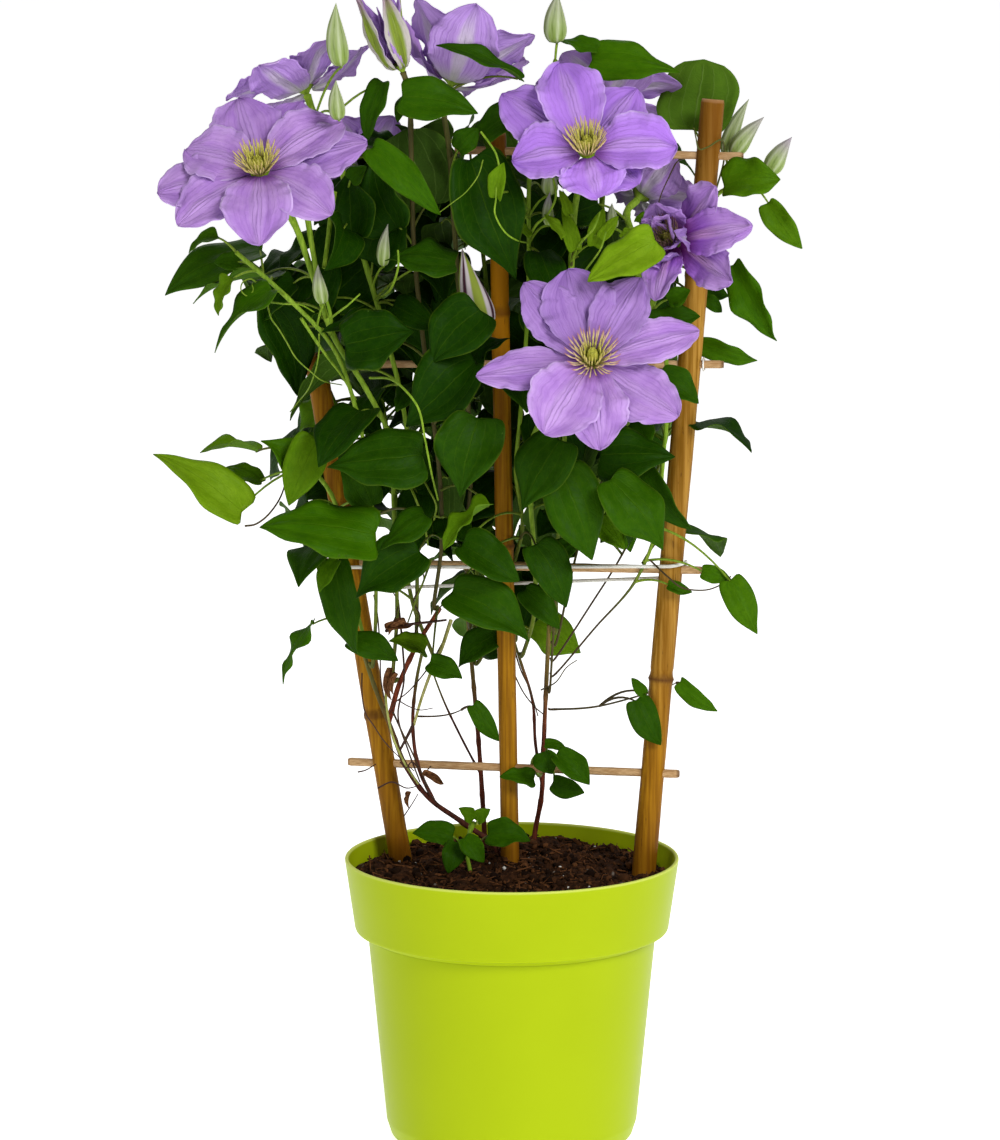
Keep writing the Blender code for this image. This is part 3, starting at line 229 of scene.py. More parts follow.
class Heap:  # gathers the closed parts of one piece, then makes its mesh
    def __init__(self):
        self.parts = []

    def add(self, places, quads, fans=None, uv=None, finish=0, **values):
        fans = np.empty((0, 3), int) if fans is None else fans
        halves = np.vstack([quads[:, [0, 1, 2]], quads[:, [0, 2, 3]], fans])
        middle = places.mean(0)
        a, b, c = (places[halves[:, k]] - middle for k in range(3))
        if (np.cross(a, b) * c).sum() < 0:  # inside out
            quads, fans = quads[:, ::-1], fans[:, ::-1]
        self.parts.append((places, quads, fans, uv, finish, values))
        return self

    def build(self, name, finishes, nodes, slotName):
        mesh = bpy.data.meshes.new(name)
        starts = np.cumsum([0] + [len(part[0]) for part in self.parts])
        places = np.vstack([part[0] for part in self.parts]) * mm
        quads = np.vstack([part[1] + start for part, start in zip(self.parts, starts)])
        fans = np.vstack([part[2] + start for part, start in zip(self.parts, starts)])
        finish = np.concatenate([np.full(len(part[1]), part[4]) for part in self.parts]
                                + [np.full(len(part[2]), part[4]) for part in self.parts])
        corners = np.concatenate([quads.ravel(), fans.ravel()])
        sizes = np.concatenate([np.full(len(quads), 4), np.full(len(fans), 3)])
        mesh.vertices.add(len(places))
        mesh.vertices.foreach_set("co", places.astype(np.float32).ravel())
        mesh.loops.add(len(corners))
        mesh.loops.foreach_set("vertex_index", corners.astype(np.int32))
        mesh.polygons.add(len(sizes))
        mesh.polygons.foreach_set("loop_start", (np.cumsum(sizes) - sizes).astype(np.int32))
        mesh.polygons.foreach_set("material_index", finish.astype(np.int32))
        mesh.polygons.foreach_set("use_smooth", np.ones(len(sizes), bool))
        mesh.update(calc_edges=True)
        uvs = [part[3] if part[3] is not None else np.zeros((len(part[0]), 2)) for part in self.parts]
        layer = mesh.uv_layers.new(name="UVMap")
        layer.data.foreach_set("uv", np.vstack(uvs)[corners].astype(np.float32).ravel())
        for key in sorted({key for part in self.parts for key in part[5]}):
            rows = [np.broadcast_to(part[5].get(key, 0.0), len(part[0])) for part in self.parts]
            kept = mesh.attributes.new(key, "FLOAT", "POINT")
            kept.data.foreach_set("value", np.concatenate(rows).astype(np.float32))
        for made in finishes:
            mesh.materials.append(made)
        mesh.validate()
        piece = placed(name, mesh)
        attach(piece, "root")
        if nodes:
            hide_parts(*nodes)
        return piece


# Finishes


class Value:  # a shader value or colour; sums on it add Math nodes
    def __init__(self, finish, socket):
        self.finish, self.socket = finish, socket

    def sum(self, operation, first, second=None, clamp=False):
        values = {0: first} if second is None else {0: first, 1: second}
        return self.finish.add("ShaderNodeMath", dict(operation=operation, use_clamp=clamp), values)

    def __add__(self, other):
        return self.sum("ADD", self, other)

    __radd__ = __add__

    def __mul__(self, other):
        return self.sum("MULTIPLY", self, other)

    def __sub__(self, other):
        return self.sum("SUBTRACT", self, other)

    def __rsub__(self, other):
        return self.sum("SUBTRACT", other, self)

    def __abs__(self):
        return self.sum("ABSOLUTE", self)

    def sine(self):
        return self.sum("SINE", self)

    def clamped(self):
        return self.sum("ADD", self, 0.0, True)

    def between(self, low, high):  # 0 below low, 1 above high, and a smooth rise from one to the other
        settings = dict(interpolation_type="SMOOTHSTEP")
        return self.finish.add("ShaderNodeMapRange", settings, {0: self, 1: low, 2: high, 3: 0.0, 4: 1.0})


class Finish:  # one procedural material; shine is how much light its surface mirrors
    def __init__(self, name, shine, **constants):
        self.made = bpy.data.materials.new(name)
        self.made.use_nodes = True
        self.tree = self.made.node_tree
        self.shader = self.tree.nodes["Principled BSDF"]
        for key, value in dict(constants, Specular_IOR_Level=shine).items():
            self.shader.inputs[key.replace("_", " ")].default_value = value

    def feed(self, socket, value):
        if isinstance(value, Value):
            self.tree.links.new(value.socket, socket)
        else:
            socket.default_value = (*value, 1.0) if socket.type == "RGBA" else value

    def add(self, kind, settings=None, values=None, output=0):
        node = self.tree.nodes.new(kind)
        for key, value in (settings or {}).items():
            setattr(node, key, value)
        for key, value in (values or {}).items():
            self.feed(node.inputs[key], value)
        return Value(self, node.outputs[output])

    def objectPlace(self, scale=(1, 1, 1)):
        place = self.add("ShaderNodeTexCoord", output="Object")
        return self.add("ShaderNodeMapping", None, {"Vector": place, "Scale": scale})

    def kept(self, name):  # an attribute of the mesh
        return self.add("ShaderNodeAttribute", dict(attribute_name=name), output="Fac")

    def share(self, name):  # the same, held between 0 and 1
        return self.kept(name).clamped()

    def acrossAndAlong(self):  # the two parts of the UV map
        place = self.add("ShaderNodeUVMap", dict(uv_map="UVMap"))
        parts = self.add("ShaderNodeSeparateXYZ", None, {0: place})
        return parts, Value(self, parts.socket.node.outputs[1])

    def joined(self, x, y, z):
        return self.add("ShaderNodeCombineXYZ", None, {0: x, 1: y, 2: z})

    def noise(self, place, scale, detail=3.0, roughness=0.55):
        values = {"Vector": place, "Scale": scale, "Detail": detail, "Roughness": roughness}
        return self.add("ShaderNodeTexNoise", None, values)

    def mix(self, share, first, second):
        return self.add("ShaderNodeMix", dict(data_type="RGBA"), {0: share, 6: first, 7: second}, 2)

    def layers(self, colour, *others):  # each (share, colour) of the others laid over what is there
        for share, over in others:
            colour = self.mix(share, colour, over)
        return colour

    def wear(self, colour, roughness, height, depth, strength=1.0):  # depth of the relief in metres
        bump = self.add("ShaderNodeBump", None, {"Height": height, "Distance": depth, "Strength": strength})
        for key, value in (("Base Color", colour), ("Roughness", roughness), ("Normal", bump)):
            self.feed(self.shader.inputs[key], value)
        return self.made


def plasticFinish():  # satin moulded plastic, with a faint orange-peel skin and soft handling marks
    f = Finish("limePlastic", 0.07)
    place = f.objectPlace()
    cloud, skin = f.noise(place, 9.0, 2.0), f.noise(place, 900.0, 2.0)
    scuff = f.noise(f.objectPlace((60, 60, 14)), 3.0, 4.0, 0.7).between(0.6, 0.78)
    # A dark band just under the collar is painted shade.
    # A pale yellow band on the top of the rim is a painted highlight.
    tone = f.layers((0.372, 0.476, 0.003), (cloud.between(0.3, 0.7), (0.392, 0.5, 0.004)),
                    (f.share("lip") * 0.8, (0.7, 0.78, 0.16)), (f.share("seam") * 0.9, (0.09, 0.125, 0.001)))
    return f.wear(tone, 0.34 + scuff * 0.1 + cloud * 0.06, skin, 0.00004)


def soilFinish():
    f = Finish("soil", 0.08)
    place = f.objectPlace()
    grain, clod = f.noise(place, 420.0, 6.0, 0.7), f.noise(place, 60.0)
    tone = f.layers((0.006, 0.0024, 0.001), (grain.between(0.32, 0.68), (0.06, 0.022, 0.008)),
                    (clod.between(0.45, 0.75) * 0.5, (0.075, 0.029, 0.01)),
                    (f.share("dust"), (0.62, 0.58, 0.5)))
    return f.wear(tone, 0.88 + grain * 0.1, grain, 0.0012)


def crumbFinish():
    f = Finish("soilCrumb", 0.06)
    grain = f.noise(f.objectPlace((1, 1, 0.4)), 500.0, 4.0, 0.7)
    tone = f.layers((0.009, 0.0036, 0.0016), (f.share("tone"), (0.15, 0.058, 0.02)),
                    (grain.between(0.35, 0.7) * 0.5, (0.01, 0.004, 0.002)),
                    (f.share("pale"), (0.72, 0.69, 0.62)))
    return f.wear(tone, 0.9 - grain * 0.1, grain, 0.0004)


def bambooFinish():  # long streaks, speckles, darker joints and cut ends
    f = Finish("bamboo", 0.07)
    streak = f.noise(f.objectPlace((1, 1, 0.02)), 420.0, 5.0, 0.62)
    broad = f.noise(f.objectPlace((1, 1, 0.1)), 46.0)
    fleck = f.noise(f.objectPlace((1, 1, 0.16)), 620.0, 2.0).between(0.66, 0.76)
    pale = f.mix(streak.between(0.35, 0.65), (0.225, 0.102, 0.006), (0.45, 0.245, 0.046))
    # The golden stretch is partly the cane's own colour and partly painted light.
    tone = f.layers((0.2, 0.076, 0.002), (streak.between(0.3, 0.72), (0.48, 0.225, 0.008)),
                    (f.share("pale"), pale), (f.share("gold"), (0.56, 0.225, 0.004)),
                    (broad.between(0.4, 0.72) * 0.65, (0.175, 0.062, 0.001)),
                    (fleck * 0.65, (0.06, 0.02, 0.006)), (f.share("brown"), (0.15, 0.05, 0.002)),
                    (f.share("joint") * 0.85, (0.085, 0.03, 0.008)), (f.share("cut"), (0.42, 0.22, 0.095)))
    return f.wear(tone, 0.42 + streak * 0.16, streak + f.kept("joint") * 0.6, 0.00022)


def rungFinish():
    f = Finish("rungWood", 0.12)
    grain = f.noise(f.objectPlace((0.03, 1, 1)), 700.0, 5.0, 0.65)
    patch = f.noise(f.objectPlace((0.2, 1, 1)), 40.0, 2.0)
    tone = f.layers((0.39, 0.215, 0.085), (grain.between(0.3, 0.7), (0.64, 0.42, 0.215)),
                    (patch.between(0.5, 0.8) * 0.5, (0.27, 0.125, 0.045)),
                    (f.share("cut"), (0.2, 0.095, 0.04)))
    return f.wear(tone, 0.55 + grain * 0.15, grain, 0.0003)


def barkFinish():
    f = Finish("bark", 0.12)
    strip = f.noise(f.objectPlace((1, 1, 0.08)), 640.0, 5.0, 0.7)
    patch = f.noise(f.objectPlace((1, 1, 0.4)), 70.0)
    tone = f.layers((0.075, 0.015, 0.007), (strip.between(0.32, 0.7), (0.31, 0.064, 0.027)),
                    (patch.between(0.5, 0.7) * 0.45, (0.24, 0.11, 0.05)),
                    (f.share("dark") * 0.8, (0.03, 0.013, 0.009)),
                    (f.share("green") * 0.85, (0.26, 0.31, 0.07)))
    return f.wear(tone, 0.66 + strip * 0.2, strip, 0.0006)


def leafFinish():  # sunken parallel veins with a net between them, a tone for each leaf, and a paler back
    f = Finish("leafBlade", 0.035)
    across, along = f.acrossAndAlong()
    side = across * 2.0 - 1.0
    seed, tone, under = f.kept("seed"), f.kept("tone"), f.kept("under")
    wander = (f.noise(f.joined(side * 1.5, along * 3.0, seed), 2.0, 2.0) - 0.5) * 0.1
    offset = abs(side + wander)
    lines = 1.0 - offset.between(0.0, 0.034)
    for place, wide in ((0.36, 0.026), (0.7, 0.022)):
        lines = lines + (1.0 - abs(offset - place).between(0.0, wide)) * 0.55
    lines = (lines * along.between(0.0, 0.05) * (1.0 - along.between(0.86, 1.0))).clamped()
    cells = f.joined(side * 2.4, along * 8.0 - offset * 2.0, seed)
    cross = f.add("ShaderNodeTexVoronoi", dict(feature="DISTANCE_TO_EDGE"), {"Vector": cells, "Scale": 1.6})
    net = 1.0 - cross.between(0.0, 0.09)
    mottle = f.noise(f.joined(side * 2.0, along * 4.0, seed + 3.0), 2.2, 4.0)
    patchy = mottle.between(0.2, 0.8)
    # Each leaf's tone picks between these greens. It is partly the leaf's own colour and partly painted light
    # and shade: dark for leaves in shade, bright yellow-green for backlit ones.
    dark = f.mix(patchy, (0.0058, 0.029, 0.0004), (0.0105, 0.043, 0.0003))
    middle = f.mix(patchy, (0.03, 0.104, 0.0003), (0.046, 0.134, 0.0004))
    youngOrBacklit = f.mix(patchy, (0.13, 0.245, 0.003), (0.18, 0.305, 0.009))
    colour = f.layers(dark, (tone.between(0.12, 0.56), middle), (tone.between(0.45, 0.95), youngOrBacklit))
    paler = f.mix(0.5, colour, (0.12, 0.23, 0.008))
    # The pale band along each blade's edge is a painted rim highlight.
    colour = f.layers(colour, (lines * 0.26 + net * 0.05, paler),
                      (offset.between(0.94, 1.0) * 0.4, (0.1, 0.17, 0.01)))
    back = f.layers(colour, (0.4, (0.085, 0.16, 0.022)), (lines * 0.4, (0.17, 0.27, 0.06)))
    dry = f.mix(mottle.between(0.3, 0.7), (0.06, 0.02, 0.008), (0.23, 0.105, 0.04))
    colour = f.layers(colour, (under.clamped(), back), (f.share("dry"), dry))
    height = mottle * 0.5 - lines * (0.5 - under) - net * 0.2
    return f.wear(colour, 0.38 + mottle * 0.12 + under * 0.22, height, 0.00045, 0.9)


def stemFinish():  # green and ribbed above, olive and browner towards the foot
    f = Finish("greenStem", 0.14)
    strip = f.noise(f.objectPlace((1, 1, 0.08)), 700.0)
    ribbed = strip.between(0.3, 0.7)
    fresh = f.mix(ribbed, (0.135, 0.25, 0.01), (0.25, 0.39, 0.028))
    old = f.mix(ribbed, (0.066, 0.088, 0.009), (0.14, 0.14, 0.026))
    straw = f.mix(ribbed, (0.25, 0.24, 0.05), (0.48, 0.46, 0.17))
    tone = f.layers(fresh, (f.share("age"), old), (f.share("brown"), (0.052, 0.024, 0.016)),
                    (f.share("straw"), straw))
    return f.wear(tone, 0.48 + strip * 0.12, strip, 0.0002)


def budFinish():  # silky pale green with darker seams, tinged violet where it opens
    f = Finish("bud", 0.12)
    rib, along = f.kept("rib"), f.kept("along")
    silk = f.noise(f.objectPlace((1, 1, 0.12)), 900.0, 4.0)
    tint = f.share("violet") * along.between(0.3, 1.0) * 0.6
    opening = f.layers((0.04, 0.01, 0.02), (rib.between(0.1, 0.3), (0.45, 0.4, 0.41)),
                       (rib.between(0.52, 0.72), (0.2, 0.25, 0.03)))
    tone = f.layers((0.2, 0.29, 0.05), (along.between(0.0, 0.6), (0.3, 0.37, 0.15)),
                    (rib.between(0.5, 1.0) * 0.75, (0.47, 0.53, 0.33)),
                    ((1.0 - rib.between(0.0, 0.34)) * 0.75, (0.11, 0.17, 0.025)), (tint, (0.33, 0.2, 0.42)),
                    (silk.between(0.4, 0.8) * 0.18, (0.54, 0.58, 0.44)), (f.share("opening"), opening))
    return f.wear(tone, 0.62 + silk * 0.15, silk, 0.00012)


def sepalFinish():  # three ribs down the middle, fine veins fanning to the edges, paler edges, dull back
    f = Finish("sepal", 0.1)
    across, along = f.acrossAndAlong()
    side = across * 2.0 - 1.0
    seed = f.kept("seed")
    wander = (f.noise(f.joined(side * 1.2, along * 2.5, seed), 1.8) - 0.5) * 0.16
    offset = side + wander
    reach = abs(offset)
    band = 1.0 - reach.between(0.13, 0.3)
    ribs = (1.0 - reach.between(0.0, 0.03)) + (1.0 - abs(reach - 0.115).between(0.0, 0.028)) * 0.8
    streak = f.noise(f.joined(offset * 30.0, along * 1.5, seed), 1.6, 5.0, 0.62)
    veins = (offset * 40.0 + along * 2.0 + streak * 3.0).sine().between(0.66, 1.0) * (1.0 - band)
    crease = f.noise(f.joined(offset * 6.0, along * 9.0, seed), 1.8)
    cloud = f.noise(f.joined(side * 1.1, along * 2.2, seed + 5.0), 1.4)
    edge = abs(side).between(0.93, 0.99) * cloud.between(0.3, 0.6) * 0.45
    rich = f.layers((0.3, 0.085, 0.54), (band, (0.46, 0.215, 0.48)),
                    (1.0 - along.between(0.05, 0.4), (0.2, 0.008, 0.19)))
    shade = f.mix(streak.between(0.4, 0.7), (0.3, 0.165, 0.48), (0.21, 0.095, 0.37))
    back = f.layers((0.36, 0.2, 0.56), (streak.between(0.35, 0.75), (0.51, 0.33, 0.69)),
                    (band * 0.65 * (1.0 - along.between(0.6, 1.0)), (0.59, 0.54, 0.6)),
                    ((1.0 - along.between(0.0, 0.34)) * 0.65, (0.43, 0.47, 0.33)),
                    (veins * 0.2, (0.21, 0.11, 0.38)))
    silk = f.layers((0.2, 0.27, 0.03), (reach.between(0.3, 0.7), (0.5, 0.46, 0.43)),
                    (ribs * 0.4, (0.42, 0.48, 0.18)), (along.between(0.72, 0.98) * 0.7, (0.3, 0.15, 0.26)))
    colour = f.layers((0.385, 0.197, 0.575), (cloud.between(0.28, 0.72), (0.515, 0.306, 0.68)),
                      (f.share("hue"), (0.445, 0.19, 0.85)),
                      (streak.between(0.42, 0.72) * 0.34, (0.29, 0.135, 0.5)),
                      (veins * 0.13, (0.26, 0.11, 0.45)),
                      (reach.between(0.62, 1.0) * 0.35, (0.57, 0.4, 0.74)), (edge, (0.69, 0.54, 0.83)),
                      (band * 0.45 * (1.0 - along.between(0.75, 1.0)), (0.54, 0.35, 0.7)),
                      (ribs * 0.26, (0.29, 0.12, 0.47)),
                      ((1.0 - along.between(0.05, 0.25)) * 0.8, (0.17, 0.04, 0.3)),
                      (f.share("deep") * (1.0 - along.between(0.3, 0.8) * 0.92), rich),
                      (f.share("shade") * 0.75, shade), (f.share("under"), back), (f.share("pale"), silk))
    height = ribs * 0.8 - veins * 0.3 + streak * 0.4 + cloud * 0.4 + crease * 1.1
    return f.wear(colour, 0.54 + streak * 0.14, height, 0.0005, 0.9)


def stamenFinish():
    f = Finish("stamen", 0.1)
    tip, ring = f.kept("tip"), f.kept("ring")
    grain = f.noise(f.objectPlace(), 1500.0)
    # The dark olive foot colour of the filaments and the cushion is partly their own olive and partly painted
    # shade in the gaps between them.
    foot = f.mix(ring.clamped(), (0.185, 0.23, 0.01), (0.43, 0.31, 0.15))
    stalk = f.mix(ring.clamped(), (0.61, 0.6, 0.1), (0.82, 0.64, 0.39))
    pink = (tip.between(0.66, 0.94) * ring * 0.95).clamped()
    tone = f.layers(foot, (tip.between(0.15, 0.6), stalk), (pink, (0.43, 0.15, 0.19)),
                    (f.share("dark"), (0.08, 0.02, 0.06)))
    return f.wear(tone, 0.62 + grain * 0.2, grain, 0.00015)


def bandFinish():
    f = Finish("elasticBand", 0.3)
    knit = f.add("ShaderNodeTexWave", dict(wave_type="BANDS", bands_direction="X"),
                 {"Vector": f.objectPlace(), "Scale": 420.0, "Distortion": 1.5})
    grime = f.noise(f.objectPlace(), 60.0)
    tone = f.mix(grime.between(0.45, 0.8) * 0.5, (0.8, 0.79, 0.72), (0.56, 0.52, 0.42))
    return f.wear(tone, 0.6 + grime * 0.15, knit, 0.0002)


def clipFinish():
    f = Finish("clipPlastic", 0.4)
    grime = f.noise(f.objectPlace(), 300.0)
    tone = f.mix(grime.between(0.4, 0.8) * 0.5, (0.78, 0.77, 0.73), (0.52, 0.48, 0.4))
    return f.wear(tone, 0.4 + grime * 0.2, grime, 0.0001)


plastic, soilSkin, crumb, bamboo, rungWood = (make() for make in (plasticFinish, soilFinish, crumbFinish,
                                                                  bambooFinish, rungFinish))
bark, leafSkin, stemSkin, budSkin, sepalSkin = (make() for make in (barkFinish, leafFinish, stemFinish,
                                                                    budFinish, sepalFinish))
stamenSkin, bandSkin, clipSkin = stamenFinish(), bandFinish(), clipFinish()
print("finishes made")


# Lines of canes and stems, as the solids have them


def splined(points, count):  # places on a Catmull-Rom curve through the points, `count` to each stretch
    p = np.array(points, float)
    p = np.vstack([2 * p[0] - p[1], p, 2 * p[-1] - p[-2]])
    t = np.linspace(0, 1, count, endpoint=False)[:, None]
    curve = [0.5 * (2 * b + (c - a) * t + (2 * a - 5 * b + 4 * c - d) * t**2 + (3 * b - a - 3 * c + d) * t**3)
             for a, b, c, d in zip(p, p[1:], p[2:], p[3:])]
    return np.vstack([*curve, p[-2:-1]])


def runOf(line):
    return np.concatenate([[0], np.cumsum(np.linalg.norm(np.diff(line, axis=0), axis=1))])


def evenly(points, count):  # `count` places at even distances along that curve
    curve = splined(points, 12)
    run = runOf(curve)
    wanted = np.linspace(0, run[-1], count)
    return np.column_stack([np.interp(wanted, run, curve[:, k]) for k in range(3)])


def bentClear(points, radius, others, heldStart=1, heldEnd=1, spare=1.4):
    # the points, moved until their straight stretches pass the other stems with room to spare
    starts, ends, radii = (np.array(part, float) for part in zip(*others))
    along = ends - starts
    points = points.copy()
    share = np.linspace(0, 1, 9)[:, None]
    for _ in range(60):
        samples = points[:-1, None] * (1 - share) + points[1:, None] * share
        flat = samples.reshape(-1, 1, 3)
        reach = np.clip(((flat - starts) * along).sum(2) / (along**2).sum(1), 0, 1)
        away = flat - (starts + along * reach[..., None])
        gap = np.linalg.norm(away, axis=2) + 1e-9
        short = radius + radii + spare - gap
        worst = short.argmax(1)
        rows = np.arange(len(worst))
        push = away[rows, worst] / gap[rows, worst, None] * np.maximum(short[rows, worst], 0)[:, None]
        if not push.any():
            break
        push = push.reshape(samples.shape)
        moves = np.concatenate([np.pad(push * (1 - share), ((0, 1), (0, 0), (0, 0))),
                                np.pad(push * share, ((1, 0), (0, 0), (0, 0)))], axis=1)
        chosen = moves[np.arange(len(points)), np.linalg.norm(moves, axis=2).argmax(1)]
        chosen[:heldStart] = 0
        chosen[len(points) - heldEnd:] = 0
        points += 1.2 * chosen
    return points


def stretchesOf(points, radius):
    return [(a, b, radius) for a, b in zip(points, points[1:])]


def nearestOn(points, place):
    a, b = points[:-1], points[1:]
    reach = np.clip(((place - a) * (b - a)).sum(1) / ((b - a) ** 2).sum(1), 0, 1)[:, None]
    near = a + (b - a) * reach
    return near[np.linalg.norm(near - place, axis=1).argmin()]


# Canes: foot, top, radius at each, heights of the joints, how brown all over and, as crown, at the top, a
# golden stretch that is partly the cane's own colour and partly painted light lifting it out of the leaves'
# shade, and pale for a paler upper part
canes = {
    "cane_left": dict(foot=(-48.2, 39.1, 32), top=(-124.5, 52, 492), radii=(7.3, 6.9), joints=(262, 395),
        brown=0.12, crown=0.0),
    "cane_middle": dict(foot=(1.7, 23.5, 28), top=(-9.3, 33.2, 632), radii=(5.9, 5.6), joints=(373, 520),
        brown=0.08, crown=0.3, gold=1.0),
    "cane_right": dict(foot=(80.2, 3.5, 133), top=(123.7, 12, 653), radii=(7.5, 7.2), joints=(292, 545),
        brown=0.0, crown=0.75, pale=0.85),
}
jointSwell = 0.9
rungs = {
    "rung_1": ((-104, 50, 230.5), (105, 1.2, 232.2)),
    "rung_2": ((-117.7, 51.4, 359.2), (118.9, 3.2, 361.1)),
    "rung_3": ((-133.4, 53.7, 485), (131.1, 5.5, 489.8)),
    "rung_4": ((-35.4, 37.4, 620.5), (142.4, 7.8, 618.2)),
}
rungRadius = 2.7
tie = dict(radius=1.1, gap=0.4, sides=12, right=(364.2, 366.3, 354.6), left=(341.0, 350.0, 357.5))
clips = dict(radius=3.9, wire=0.6, rows=40, sides=10, across={"clip_left": -131.9, "clip_right": 119.0})


def caneEnds(name):
    return np.array([canes[name]["foot"], canes[name]["top"]], float)


def canePlace(name, height):
    foot, top = caneEnds(name)
    return foot + (top - foot) * (height - foot[2]) / (top[2] - foot[2])


def tieLine(steps=7):  # round each outer cane at the tie's heights, and straight between them
    points = []
    for name, first in (("cane_right", 0), ("cane_left", 180)):
        out = canes[name]["radii"][0] + tie["radius"] + tie["gap"]
        for step in np.linspace(0, 6, steps):
            height = float(np.interp(step, (0, 3, 6), tie[name[5:]]))
            row = unit((canePlace("cane_right", height) - canePlace("cane_left", height)) * (1, 1, 0))
            angle = math.radians(first + 30 * step)
            away = math.cos(angle) * np.cross(row, up) + math.sin(angle) * row
            points.append(canePlace(name, height) + out * away)
    return np.array(points)


# Woody stems: radius at the foot, how dark and green each line is, main stem from the soil up, branches
woody = {
    "woody_left": dict(radius=2.6, dark=(0.85, 0.0, 0.7), green=(0.5, 0.05, 0.8),
        way=[(497, 851, 30), (470, 828, 30), (440, 806, 30), (418, 788, 30), (403, 760, 26), (386, 715, 26),
             (372, 680, 28), (362, 648, 30)],
        branches=[[(390, 722, 26), (394, 698, 24), (408, 664, 22), (422, 636, 24), (440, 608, 28)],
                  [(434, 802, 30), (420, 772, 24), (413, 735, 27), (415, 690, 34), (425, 640, 36)]]),
    "woody_right": dict(radius=2.1, dark=(0.4, 0.6), green=(0.5, 0.8),
        way=[(533, 846, 62), (541, 800, 54), (543, 765, 48), (546, 690, 40), (549, 625, 34)],
        branches=[[(541, 785, 51), (535, 740, 52), (531, 690, 52), (516, 650, 50), (508, 622, 48)]]),
    "woody_back": dict(radius=2.2, dark=(0.6, 1.3), green=(0.5, 0.8),
        way=[(485, 843, 76), (480, 760, 68), (474, 690, 64), (468, 620, 62)],
        branches=[[(481, 775, 69), (450, 715, 72), (430, 665, 72)]]),
}
